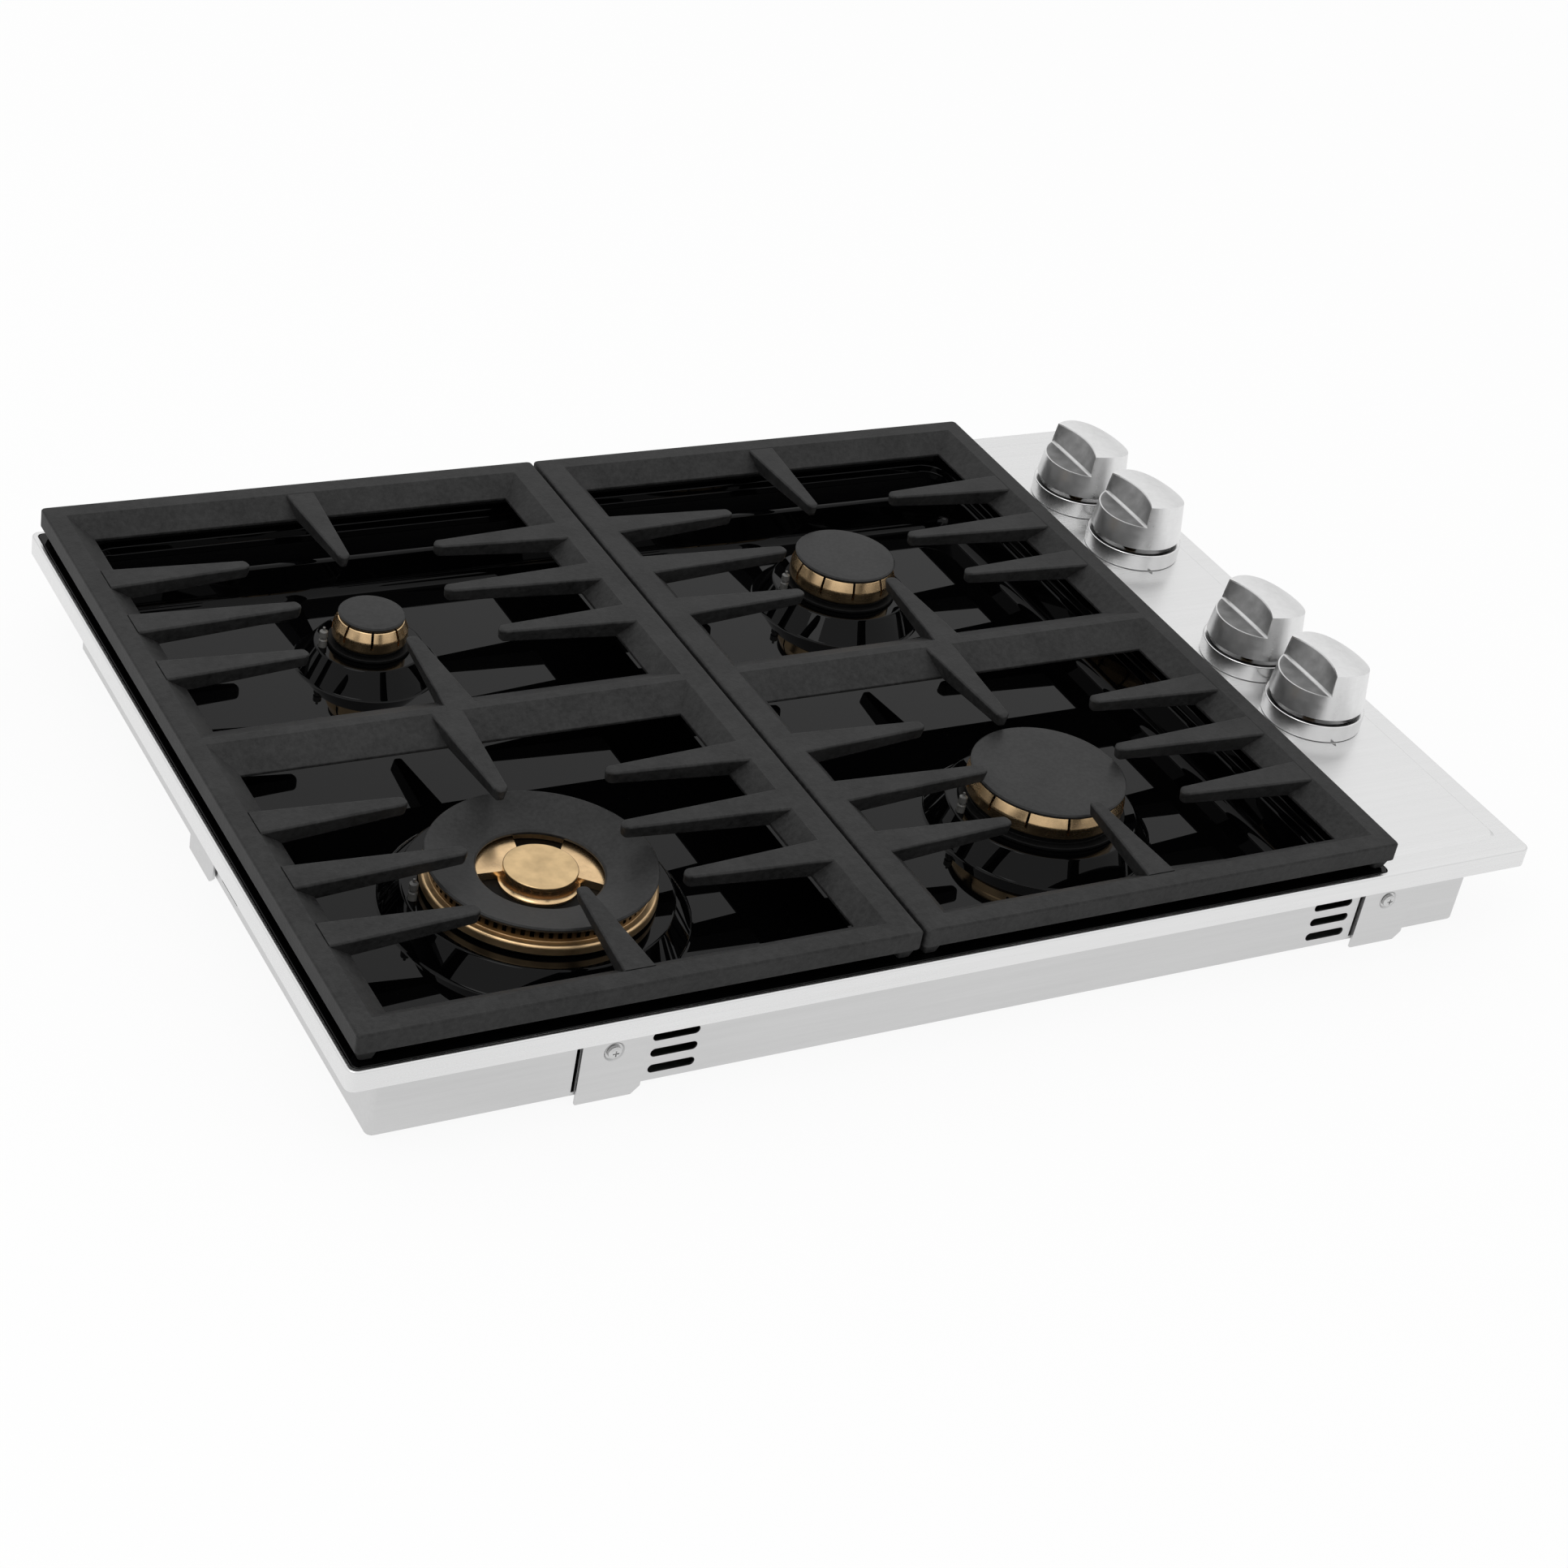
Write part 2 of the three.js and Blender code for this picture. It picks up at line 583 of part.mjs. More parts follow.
function burnerBox() {
  const body = { x0: BOX_LEFT, y0: BOX_FRONT, x1: BOX_RIGHT, y1: BOX_BACK };
  const top = DECK_BOTTOM - FIT;
  const outside = loft([section(body, -BOX_DEPTH, BOX_CORNER), section(body, top, BOX_CORNER)]);
  const inside = loft([
    section(body, -BOX_DEPTH + SHEET, BOX_CORNER, -SHEET),
    section(body, top - SHEET, BOX_CORNER, -SHEET),
  ]);
  const mouth = prism(
    rectangle(BOX_LEFT + BOX_FLANGE, BOX_FRONT + BOX_FLANGE, BOX_RIGHT - BOX_FLANGE,
      BOX_BACK - BOX_FLANGE, BOX_CORNER), top - SHEET - 1, top + 1,
  );
  const through = 3 * SHEET;
  const frontFrom = BOX_FRONT - SHEET;
  const leftLouvre = FRONT_BRACKET_LEFT + BRACKET_WIDTH + LOUVRE_GAP;
  const rightLouvre = FRONT_BRACKET_RIGHT - BESIDE_SLIT - LOUVRE_LENGTH;
  const frontCuts = [
    ...louvres(leftLouvre),
    ...louvres(rightLouvre),
    slit(FRONT_BRACKET_LEFT - SLIT_WIDTH - FIT),
    slit(FRONT_BRACKET_RIGHT - SLIT_WIDTH - FIT),
  ].map((shape) => prismY(shape, frontFrom, frontFrom + through));
  const sideLouvre = SIDE_BRACKET_BACK - BRACKET_WIDTH - BESIDE_SLIT - LOUVRE_LENGTH;
  const sideCuts = [
    ...louvres(sideLouvre),
    slit(SIDE_BRACKET_BACK - BRACKET_WIDTH - SLIT_WIDTH - FIT),
  ].map((shape) => prismX(shape, BOX_LEFT - SHEET, BOX_LEFT - SHEET + through));
  const gasHole = rodY(MANIFOLD_RADIUS + FIT, BOX_BACK - through, BOX_BACK + SHEET,
    KNOB_X, -MANIFOLD_LEVEL);
  return cut(outside, inside, mouth, ...frontCuts, ...sideCuts, gasHole);
}

function counterSeal() {
  const strip = (inset) => section(FLANGE, 0, FRAME_CORNER, -inset);
  const shape = new THREE.Shape(strip(SEAL_INSET).points);
  shape.holes.push(new THREE.Path(strip(SEAL_INSET + SEAL_WIDTH).points));
  return prism(shape, 0, SEAL_HEIGHT);
}

// hold-down plate on the front wall, with its screw; left is its left edge
function holdDown(left) {
  const right = left + BRACKET_WIDTH;
  const foot = -BOX_DEPTH - BRACKET_DROP;
  const plate = new THREE.Shape();
  plate.moveTo(left, foot).lineTo(right - BRACKET_CHAMFER, foot);
  plate.lineTo(right, foot + BRACKET_CHAMFER).lineTo(right, -BRACKET_TOP).lineTo(left, -BRACKET_TOP);
  const back = BOX_FRONT - FIT;
  const front = back - BRACKET_THICKNESS;
  const head = rodY(BRACKET_SCREW_RADIUS, front - BRACKET_SCREW_HEAD, front + 0.5,
    left + BRACKET_WIDTH / 2, -BRACKET_SCREW_Z);
  return join(prismY(plate, front, back), head);
}

// ---- grates ------------------------------------------------------------------------------

const GRATE_BACK = GRATE_INSET + GRATE_DEPTH;
const GRATE_BOTTOM = GRATE_TOP - GRATE_HEIGHT;
const FRONT_CELL_Y = { y0: GRATE_INSET + BAR_WIDTH, y1: GRATE_INSET + BAR_WIDTH + FRONT_CELL };
const REAR_CELL_Y = { y0: FRONT_CELL_Y.y1 + WEB_WIDTH, y1: GRATE_BACK - BAR_WIDTH };

// the sloping-sided opening of one cell; run is how far each side leans out to the top
function cellOpening(cell, run) {
  const corners = (grow) => [
    new THREE.Vector2(cell.x0 - grow * run.left, cell.y0 - grow * run.front),
    new THREE.Vector2(cell.x1 + grow * run.right, cell.y0 - grow * run.front),
    new THREE.Vector2(cell.x1 + grow * run.right, cell.y1 + grow * run.back),
    new THREE.Vector2(cell.x0 - grow * run.left, cell.y1 + grow * run.back),
  ];
  const slopeFrom = GRATE_BOTTOM + BAR_LIP;
  const above = 1 + 1 / (GRATE_TOP - slopeFrom);
  return loft([
    { points: corners(0), level: GRATE_BOTTOM - 1 },
    { points: corners(0), level: slopeFrom },
    { points: corners(above), level: GRATE_TOP + 1 },
  ]);
}

// a finger from a root on the frame to its tip, along x or along y
function finger(rootX, rootY, tipX, tipY, rootWidth, tipWidth) {
  const along = new THREE.Vector2(tipX - rootX, tipY - rootY);
  const length = along.length();
  const turn = THREE.MathUtils.radToDeg(along.angle());
  const nose = tipWidth * 0.3;
  const outline = (width, lean, x, z) => [[x, width / 2 - lean, z], [x, lean - width / 2, z]];
  const noseWidth = tipWidth - 2 * nose;
  const rise = GRATE_BOTTOM + FINGER_RISE;
  return hull([
    ...outline(rootWidth, 0, 0, GRATE_TOP),
    ...outline(rootWidth, FINGER_DRAFT, 0, GRATE_BOTTOM),
    ...outline(tipWidth, 0, length - nose, GRATE_TOP),
    ...outline(noseWidth, 0, length, GRATE_TOP - nose * 0.4),
    ...outline(tipWidth, FINGER_DRAFT, length - nose * 1.5, rise),
    ...outline(noseWidth, 0, length - nose * 0.5, rise + nose),
  ]).rotate([0, 0, turn]).translate([rootX, rootY, 0]);
}

function cellFingers(cell, burner, webSide) {
  const pieces = [];
  for (const row of [-1, 0, 1]) {
    const y = burner.y + row * FINGER_PITCH;
    const reach = row === 0 ? FINGER_REACH : SIDE_FINGER_REACH;
    pieces.push(finger(cell.x0 - BAR_WIDTH / 2, y, burner.x - reach, y, WIDE_FINGER_ROOT, FINGER_TIP));
    pieces.push(finger(cell.x1 + BAR_WIDTH / 2, y, burner.x + reach, y, WIDE_FINGER_ROOT, FINGER_TIP));
  }
  const outer = webSide > 0 ? cell.y0 - BAR_WIDTH / 2 : cell.y1 + BAR_WIDTH / 2;
  const web = webSide > 0 ? cell.y1 + WEB_WIDTH / 2 : cell.y0 - WEB_WIDTH / 2;
  const webX = burner.x - webSide * WEB_FINGER_SHIFT;
  const outerTip = burner.y - webSide * FINGER_REACH;
  const webTip = burner.y + webSide * FINGER_REACH;
  pieces.push(finger(burner.x, outer, burner.x, outerTip, FINGER_ROOT, FINGER_TIP - 1));
  pieces.push(finger(webX, web, webX, webTip, WIDE_FINGER_ROOT, FINGER_TIP));
  return pieces;
}

function grateFoot(x, y) {
  const half = FOOT_TOP / 2;
  const low = FOOT_BOTTOM / 2;
  const square = (size) => [
    new THREE.Vector2(x - size, y - size),
    new THREE.Vector2(x + size, y - size),
    new THREE.Vector2(x + size, y + size),
    new THREE.Vector2(x - size, y + size),
  ];
  return loft([
    { points: square(low), level: LIP_HEIGHT + FIT },
    { points: square(half), level: GRATE_BOTTOM + 1 },
  ]);
}

// one grate; outerLeft tells which side bar is the narrow outer one
function grate(left, frontBurner, rearBurner, outerLeft) {
  const right = left + GRATE_WIDTH;
  const leftBar = outerLeft ? BAR_WIDTH : CENTRE_BAR_WIDTH;
  const rightBar = outerLeft ? CENTRE_BAR_WIDTH : BAR_WIDTH;
  const leftRun = leftBar - (outerLeft ? BAR_RIDGE : CENTRE_BAR_RIDGE);
  const rightRun = rightBar - (outerLeft ? CENTRE_BAR_RIDGE : BAR_RIDGE);
  const barRun = BAR_WIDTH - BAR_RIDGE;
  const webRun = (WEB_WIDTH - WEB_RIDGE) / 2;
  const across = { x0: left + leftBar, x1: right - rightBar };
  const front = { ...across, ...FRONT_CELL_Y };
  const rear = { ...across, ...REAR_CELL_Y };
  const sides = { left: leftRun, right: rightRun };
  const slab = block(left, right, GRATE_INSET, GRATE_BACK, GRATE_BOTTOM, GRATE_TOP);
  const frame = cut(slab,
    cellOpening(front, { ...sides, front: barRun, back: webRun }),
    cellOpening(rear, { ...sides, front: webRun, back: barRun }));
  const inset = FOOT_TOP / 2 + FOOT_INSET;
  const feet = [
    grateFoot(left + inset, GRATE_INSET + inset),
    grateFoot(right - inset, GRATE_INSET + inset),
    grateFoot(left + inset, GRATE_BACK - inset),
    grateFoot(right - inset, GRATE_BACK - inset),
  ];
  return join(frame, ...cellFingers(front, frontBurner, 1), ...cellFingers(rear, rearBurner, -1), ...feet);
}

// ---- burners -----------------------------------------------------------------------------

const capBottom = (burner) => burner.top - CAP_THICKNESS;
const headTop = (burner) => capBottom(burner) - FIT;
const wallRadius = (burner) => burner.flange - HEAD_STEP;

// slots cut in from the top edge of a round wall
function ports(count, radius, width, bottom, top, offset = 0) {
  const tools = [];
  for (let i = 0; i < count; i += 1) {
    const slot = block(radius - 2 * HEAD_WALL, radius + HEAD_WALL, -width / 2, width / 2, bottom, top);
    tools.push(slot.rotate([0, 0, offset + (360 * i) / count]));
  }
  return tools;
}

// barrel, orifice holder and inlet nipple under a burner, the nipple pointing at an angle
function orifice(x, y, angle) {
  const level = -TUBE_LEVEL;
  const barrel = rod(BARREL_RADIUS, FLOOR_LEVEL - SHEET, BOSS_LEVEL + FIT + 1, SMALL_ROUND);
  const holderTop = FLOOR_LEVEL - SHEET + 0.5;
  const holder = cone(ORIFICE_RADIUS - 1, ORIFICE_RADIUS, -ORIFICE_BOTTOM, holderTop, SMALL_ROUND);
  const nipple = rodX(NIPPLE_RADIUS, 0, NIPPLE_REACH, 0, level);
  return join(barrel, holder, nipple).rotate([0, 0, angle]).translate([x, y, 0]);
}

function burnerBase(burner, angle) {
  const bottom = BOSS_LEVEL + FIT;
  const seat = burner.seat - FIT;
  const plate = turned([
    [0, bottom],
    [burner.flange + BASE_MARGIN, bottom],
    [burner.flange + BASE_MARGIN, bottom + BASE_SHEET],
    [burner.flange - HEAD_WALL, bottom + BASE_SHEET],
    [burner.flange - HEAD_WALL, seat],
    [THROAT_RADIUS, seat],
    [THROAT_RADIUS, seat + THROAT_HEIGHT],
    [0, seat + THROAT_HEIGHT],
  ]).translate([burner.x, burner.y, 0]);
  const bore = rod(THROAT_BORE, -ORIFICE_BOTTOM + ORIFICE_END, seat + THROAT_HEIGHT + 1, SMALL_ROUND)
    .translate([burner.x, burner.y, 0]);
  return cut(join(plate, orifice(burner.x, burner.y, angle)), bore);
}

function burnerHead(burner) {
  const bottom = burner.seat;
  const wall = wallRadius(burner);
  const inner = wall - HEAD_WALL;
  const body = turned([
    [THROAT_RADIUS + FIT, bottom],
    [burner.flange, bottom],
    [burner.flange, bottom + HEAD_FLANGE],
    [wall, bottom + HEAD_FLANGE + HEAD_STEP],
    [wall, headTop(burner)],
    [inner, headTop(burner)],
    [inner, bottom + HEAD_FLOOR],
    [THROAT_RADIUS + FIT, bottom + HEAD_FLOOR],
    [THROAT_RADIUS + FIT, bottom],
  ]);
  const slots = ports(burner.ports, inner + HEAD_WALL / 2, PORT_WIDTH,
    headTop(burner) - PORT_HEIGHT, headTop(burner) + 1, 360 / burner.ports / 2);
  return cut(body, ...slots).translate([burner.x, burner.y, 0]);
}

function burnerCap(burner) {
  const bottom = capBottom(burner);
  const spigot = wallRadius(burner) - HEAD_WALL - FIT;
  return turned([
    [0, bottom],
    [spigot - HEAD_WALL, bottom],
    [spigot - HEAD_WALL, bottom - CAP_SPIGOT],
    [spigot, bottom - CAP_SPIGOT],
    [spigot, bottom],
    [burner.cap - CAP_EDGE, bottom],
    [burner.cap, burner.top - CAP_EDGE],
    [burner.cap - CAP_EDGE, burner.top],
    [0, burner.top],
  ]).translate([burner.x, burner.y, 0]);
}

// dual burner: a base with two orifices, a ring head and a central head inside it
const RING_INNER = RING_HOLE + RING_WALL;
const ringWall = DUAL.cap - RING_WALL;

function dualBase() {
  const bottom = BOSS_LEVEL + FIT;
  const seat = DUAL.seat - FIT;
  const throatTop = seat + THROAT_HEIGHT / 2;
  const throat = (x) => rod(THROAT_RADIUS, bottom, throatTop, SMALL_ROUND).translate([x, 0, 0]);
  const bore = (x) => rod(THROAT_BORE, -ORIFICE_BOTTOM + ORIFICE_END, seat + THROAT_HEIGHT, SMALL_ROUND)
    .translate([x, 0, 0]);
  const body = join(
    rod(DUAL.flange + BASE_MARGIN, bottom, seat),
    orifice(0, 0, 90),
    orifice(RING_ORIFICE_OFFSET, 0, 90),
    throat(0),
    throat(RING_ORIFICE_OFFSET),
  );
  return cut(body, bore(0), bore(RING_ORIFICE_OFFSET)).translate([DUAL.x, DUAL.y, 0]);
}

function ringHead() {
  const bottom = DUAL.seat;
  const top = headTop(DUAL);
  const channelFloor = bottom + HEAD_FLOOR;
  const trough = [RING_INNER + HEAD_WALL, ringWall - HEAD_WALL];
  const body = turned([
    [RING_INNER, bottom],
    [DUAL.flange, bottom],
    [DUAL.flange, bottom + HEAD_FLANGE],
    [ringWall + 1, bottom + HEAD_FLANGE + HEAD_STEP],
    [ringWall, top],
    [trough[1], top],
    [trough[1], channelFloor],
    [trough[0], channelFloor],
    [trough[0], top],
    [RING_INNER, top],
    [RING_INNER, bottom],
  ], WIDE_ROUND);
  const inlet = rod(THROAT_RADIUS + FIT, bottom - 1, channelFloor + 1, SMALL_ROUND)
    .translate([RING_ORIFICE_OFFSET, 0, 0]);
  const slots = ports(DUAL.ports, ringWall - HEAD_WALL / 2, RING_PORT_WIDTH,
    top - RING_PORT_HEIGHT, top + 1);
  return cut(body, inlet, ...slots).translate([DUAL.x, DUAL.y, 0]);
}

function ringCap() {
  const bottom = capBottom(DUAL);
  const guide = [RING_INNER + HEAD_WALL + FIT, ringWall - HEAD_WALL - FIT];
  return turned([
    [RING_HOLE, bottom],
    [guide[0], bottom],
    [guide[0], bottom - CAP_SPIGOT],
    [guide[1], bottom - CAP_SPIGOT],
    [guide[1], bottom],
    [DUAL.cap - CAP_EDGE, bottom],
    [DUAL.cap, DUAL.top - CAP_EDGE],
    [DUAL.cap - CAP_EDGE, DUAL.top],
    [RING_HOLE + CAP_EDGE, DUAL.top],
    [RING_HOLE, DUAL.top - CAP_EDGE],
    [RING_HOLE, bottom],
  ], WIDE_ROUND).translate([DUAL.x, DUAL.y, 0]);
}

const INNER_CAP_BOTTOM = INNER_CAP_TOP - INNER_CAP_THICKNESS;

// central head: a ported cup with a stepped foot and three wings that reach the ring
function innerHead() {
  const bottom = DUAL.seat;
  const top = INNER_CAP_BOTTOM - FIT;
  const inner = INNER_HEAD_RADIUS - HEAD_WALL - 1;
  const cup = turned([
    [THROAT_RADIUS + FIT, bottom],
    [INNER_STEP_RADIUS, bottom],
    [INNER_STEP_RADIUS, bottom + HEAD_FLANGE],
    [INNER_HEAD_RADIUS - 1, bottom + HEAD_FLANGE + 1],
    [INNER_HEAD_RADIUS - 1, top],
    [inner, top],
    [inner, bottom + HEAD_FLOOR],
    [THROAT_RADIUS + FIT, bottom + HEAD_FLOOR],
    [THROAT_RADIUS + FIT, bottom],
  ]);
  const wings = [];
  for (let i = 0; i < WING_COUNT; i += 1) {
    const start = radians(WING_START + (360 / WING_COUNT) * i);
    const end = start + radians(WING_SPAN);
    const shape = new THREE.Shape();
    shape.absarc(0, 0, RING_INNER - FIT, start, end, false);
    shape.absarc(0, 0, INNER_HEAD_RADIUS - 2, end, start, true);
    wings.push(prism(shape, bottom, WING_TOP));
  }
  const slots = ports(INNER_PORTS, inner + HEAD_WALL / 2, PORT_WIDTH / 2, top - INNER_PORT_HEIGHT, top + 1,
    INNER_PORT_TURN);
  return cut(join(cup, ...wings), ...slots).translate([DUAL.x, DUAL.y, 0]);
}

function innerCap() {
  const spigot = INNER_HEAD_RADIUS - HEAD_WALL - 1 - FIT;
  return turned([
    [0, INNER_CAP_BOTTOM - INNER_CAP_SPIGOT],
    [spigot, INNER_CAP_BOTTOM - INNER_CAP_SPIGOT],
    [spigot, INNER_CAP_BOTTOM],
    [INNER_CAP_RADIUS, INNER_CAP_BOTTOM],
    [INNER_CAP_RADIUS, INNER_CAP_TOP - CAP_EDGE / 2],
    [INNER_CAP_RADIUS - CAP_EDGE / 2, INNER_CAP_TOP],
    [0, INNER_CAP_TOP],
  ]).translate([DUAL.x, DUAL.y, 0]);
}

function igniter(burner) {
  return turned([
    [0, -IGNITER_BOTTOM],
    [IGNITER_RADIUS, -IGNITER_BOTTOM],
    [IGNITER_RADIUS, IGNITER_TOP - 1],
    [IGNITER_PIN, IGNITER_TOP],
    [IGNITER_PIN, IGNITER_TOP + IGNITER_PIN_LENGTH],
    [0, IGNITER_TOP + IGNITER_PIN_LENGTH],
  ], SMALL_ROUND).translate(igniterPlace(burner));
}

// ---- knobs, valves and gas line ----------------------------------------------------------

// round bar or bore with one flat, for the end of a stem; gap is the clearance round it
function flatted(gap, bottom, top) {
  const radius = STEM_RADIUS + gap;
  const wide = STEM_RADIUS + 2;
  const flat = block(STEM_FLAT + gap, wide, -wide, wide, bottom - 1, top + 1);
  return cut(rod(radius, bottom, top, SMALL_ROUND), flat);
}

// the hollow that finger and thumb take hold of, from the top edge down to a level floor
function scoop() {
  const floor = KNOB_TOP - KNOB_SCOOP_DEPTH;
  const far = -2 * KNOB_RADIUS;
  const points = [];
  const steps = 8;
  for (let i = 0; i <= steps; i += 1) {
    const along = -1 + (2 * i) / steps;
    const y = along * SCOOP_HALF;
    const edge = -SCOOP_BULGE - (SCOOP_END - SCOOP_BULGE) * along * along;
    const lean = (SCOOP_CHORD + edge) / KNOB_SCOOP_DEPTH;
    points.push([edge + lean, y, KNOB_TOP + 1]);
  }
  const wide = 2 * KNOB_RADIUS;
  points.push([-SCOOP_END, -wide, KNOB_TOP + 1], [-SCOOP_END, wide, KNOB_TOP + 1]);
  points.push([-SCOOP_CHORD, -wide, floor], [-SCOOP_CHORD, wide, floor]);
  points.push([far, -wide, floor], [far, wide, floor]);
  points.push([far, -wide, KNOB_TOP + 1], [far, wide, KNOB_TOP + 1]);
  return hull(points);
}

// what is cut from the top of a knob to leave it bowed
function crown() {
  const drawing = new THREE.Shape();
  const right = -CROWN_LEFT + 9 * CROWN_STEP;
  drawing.moveTo(right, KNOB_TOP + 1).lineTo(-CROWN_LEFT - 2 * CROWN_STEP, KNOB_TOP + 1);
  for (let step = -2; step <= 9; step += 1) {
    const along = step * CROWN_STEP;
    drawing.lineTo(along - CROWN_LEFT, KNOB_TOP - (along * along) / (2 * KNOB_CROWN));
  }
  return prismY(drawing, -KNOB_RADIUS - 1, KNOB_RADIUS + 1);
}

function knob(y) {
  const cavityTop = KNOB_BOTTOM + KNOB_CAVITY;
  const body = turned([
    [0, KNOB_BOTTOM],
    [KNOB_RADIUS - 0.6, KNOB_BOTTOM],
    [KNOB_RADIUS, KNOB_BOTTOM + 0.6],
    [KNOB_TOP_RADIUS, KNOB_TOP - KNOB_CHAMFER],
    [KNOB_TOP_RADIUS - KNOB_CHAMFER, KNOB_TOP],
    [0, KNOB_TOP],
  ], WIDE_ROUND);
  const cavity = cone(KNOB_RADIUS - KNOB_WALL, KNOB_TOP_RADIUS - KNOB_WALL, KNOB_BOTTOM - 1, cavityTop);
  const hub = rod(HUB_RADIUS, HUB_BOTTOM, cavityTop + 1);
  const bore = flatted(FIT, HUB_BOTTOM - 1, HUB_BOTTOM + HUB_DEPTH);
  return cut(join(cut(body, cavity, crown(), scoop()), hub), bore).translate([KNOB_X, y, 0]);
}

function bezel(y) {
  const inner = BEZEL_RADIUS - BEZEL_WALL;
  return turned([
    [inner, BEZEL_BOTTOM],
    [BEZEL_RADIUS, BEZEL_BOTTOM],
    [BEZEL_RADIUS, BEZEL_TOP - BEZEL_EDGE],
    [BEZEL_RADIUS - BEZEL_EDGE, BEZEL_TOP],
    [inner, BEZEL_TOP],
    [inner, BEZEL_BOTTOM],
  ]).translate([KNOB_X, y, 0]);
}

function stem(y) {
  const flatFrom = HUB_BOTTOM - FIT;
  return join(rod(STEM_RADIUS, STEM_BOTTOM, flatFrom, SMALL_ROUND), flatted(0, flatFrom, STEM_TOP))
    .translate([KNOB_X, y, 0]);
}

const pushPlate = (y) =>
  ring(PLATE_RADIUS, STEM_RADIUS + FIT, -PLATE_TOP - PLATE_THICKNESS, -PLATE_TOP, SMALL_ROUND)
    .translate([KNOB_X, y, 0]);

function valve(y, outlets) {
  const cup = PLATE_RADIUS + FIT;
  const half = VALVE_BLOCK / 2;
  const bonnet = rod(cup + VALVE_CUP_WALL, -VALVE_BLOCK_TOP - 2, -VALVE_TOP, SMALL_ROUND);
  const body = prism(rectangle(-half, -half, half, half, VALVE_CORNER), VALVE_BOTTOM, -VALVE_BLOCK_TOP);
  const nipples = outlets.map((offset) =>
    rodX(NIPPLE_RADIUS, -VALVE_OUTLET, 1 - half, offset, -TUBE_LEVEL));
  return cut(join(bonnet, body, ...nipples), rod(cup, CUP_BOTTOM, 0, SMALL_ROUND))
    .translate([KNOB_X, y, 0]);
}

const MANIFOLD_END = BOX_BACK + UNION_GAP + UNION_LENGTH - UNION_TAIL;

function manifold() {
  const tube = rodY(MANIFOLD_RADIUS, MANIFOLD_FRONT, MANIFOLD_END, KNOB_X, -MANIFOLD_LEVEL);
  const boreFrom = MANIFOLD_FRONT + MANIFOLD_PLUG;
  return cut(tube, rodY(MANIFOLD_BORE, boreFrom, MANIFOLD_END + 1, KNOB_X, -MANIFOLD_LEVEL));
}

function inletUnion() {
  const from = BOX_BACK + UNION_GAP;
  const hexagon = turned([
    [0, 0],
    [UNION_FLATS / Math.sqrt(3), 0],
    [UNION_FLATS / Math.sqrt(3), UNION_LENGTH],
    [0, UNION_LENGTH],
  ], 6);
  const nut = hexagon.rotate([-90, 0, 0]).translate([KNOB_X, from, -MANIFOLD_LEVEL]);
  const socket = rodY(MANIFOLD_RADIUS + FIT, from - 1, MANIFOLD_END + FIT, KNOB_X, -MANIFOLD_LEVEL);
  const mouth = rodY(MANIFOLD_BORE, from, from + UNION_LENGTH + 1, KNOB_X, -MANIFOLD_LEVEL);
  return cut(nut, socket, mouth);
}

// straight runs joined by round bends, as a path
function bentPath(corners) {
  const path = new THREE.CurvePath();
  let from = corners[0];
  for (let i = 1; i + 1 < corners.length; i += 1) {
    const corner = corners[i];
    const runs = [corner.distanceTo(corners[i - 1]), corner.distanceTo(corners[i + 1])];
    const bend = Math.min(TUBE_BEND, ...runs.map((run) => run / 2));
    const before = corner.clone().add(corners[i - 1].clone().sub(corner).setLength(bend));
    const after = corner.clone().add(corners[i + 1].clone().sub(corner).setLength(bend));
    path.add(new THREE.LineCurve3(from, before));
    path.add(new THREE.QuadraticBezierCurve3(before, corner, after));
    from = after;
  }
  path.add(new THREE.LineCurve3(from, corners[corners.length - 1]));
  return path;
}

function gasTube(corners) {
  const circle = new THREE.Path().absarc(0, 0, TUBE_RADIUS, 0, 2 * Math.PI);
  const outline = new THREE.Shape(circle.getPoints(TUBE_SIDES).slice(0, TUBE_SIDES));
  const path = bentPath(corners.map(([x, y]) => new THREE.Vector3(x, y, -TUBE_LEVEL)));
  const steps = Math.ceil(path.getLength() / TUBE_STEP);
  return solid(new THREE.ExtrudeGeometry(outline, { steps, extrudePath: path, bevelEnabled: false }));
}

function sparkModule() {
  const bottom = -BOX_DEPTH + SHEET + FIT;
  const top = bottom + SPARK_HEIGHT;
  const outline = rectangle(SPARK_X, SPARK_Y, SPARK_X + SPARK_LENGTH, SPARK_Y + SPARK_WIDTH, SPARK_CORNER);
  const body = prism(outline, bottom, top);
  const posts = [];
  const middle = SPARK_Y + SPARK_WIDTH / 2;
  for (let i = 0; i < SPARK_POSTS; i += 1) {
    const x = SPARK_X + (SPARK_LENGTH * (i + 0.5)) / SPARK_POSTS;
    posts.push(rod(SPARK_POST, top - 1, top + SPARK_POST_HEIGHT, SMALL_ROUND).translate([x, middle, 0]));
  }
  return join(body, ...posts);
}

// ---- the cooktop -------------------------------------------------------------------------

const cooktop = new THREE.Group();
const bench = new THREE.Group();
bench.position.set(-WIDTH / 2, -DEPTH / 2, BOX_DEPTH + BRACKET_DROP);
cooktop.add(bench);

function put(name, piece, material) {
  const mesh = piece.getMesh();
  const geometry = new THREE.BufferGeometry();
  geometry.setAttribute('position', new THREE.BufferAttribute(Float32Array.from(mesh.vertProperties), 3));
  geometry.setIndex(new THREE.BufferAttribute(Uint32Array.from(mesh.triVerts), 1));
  const flat = geometry.toNonIndexed();
  flat.computeVertexNormals();
  const part = new THREE.Mesh(flat, material);
  part.name = name;
  bench.add(part);
}

const BURNERS = {
  rear_left: REAR_LEFT,
  rear_right: REAR_RIGHT,
  front_right: FRONT_RIGHT,
  front_left: DUAL,
};

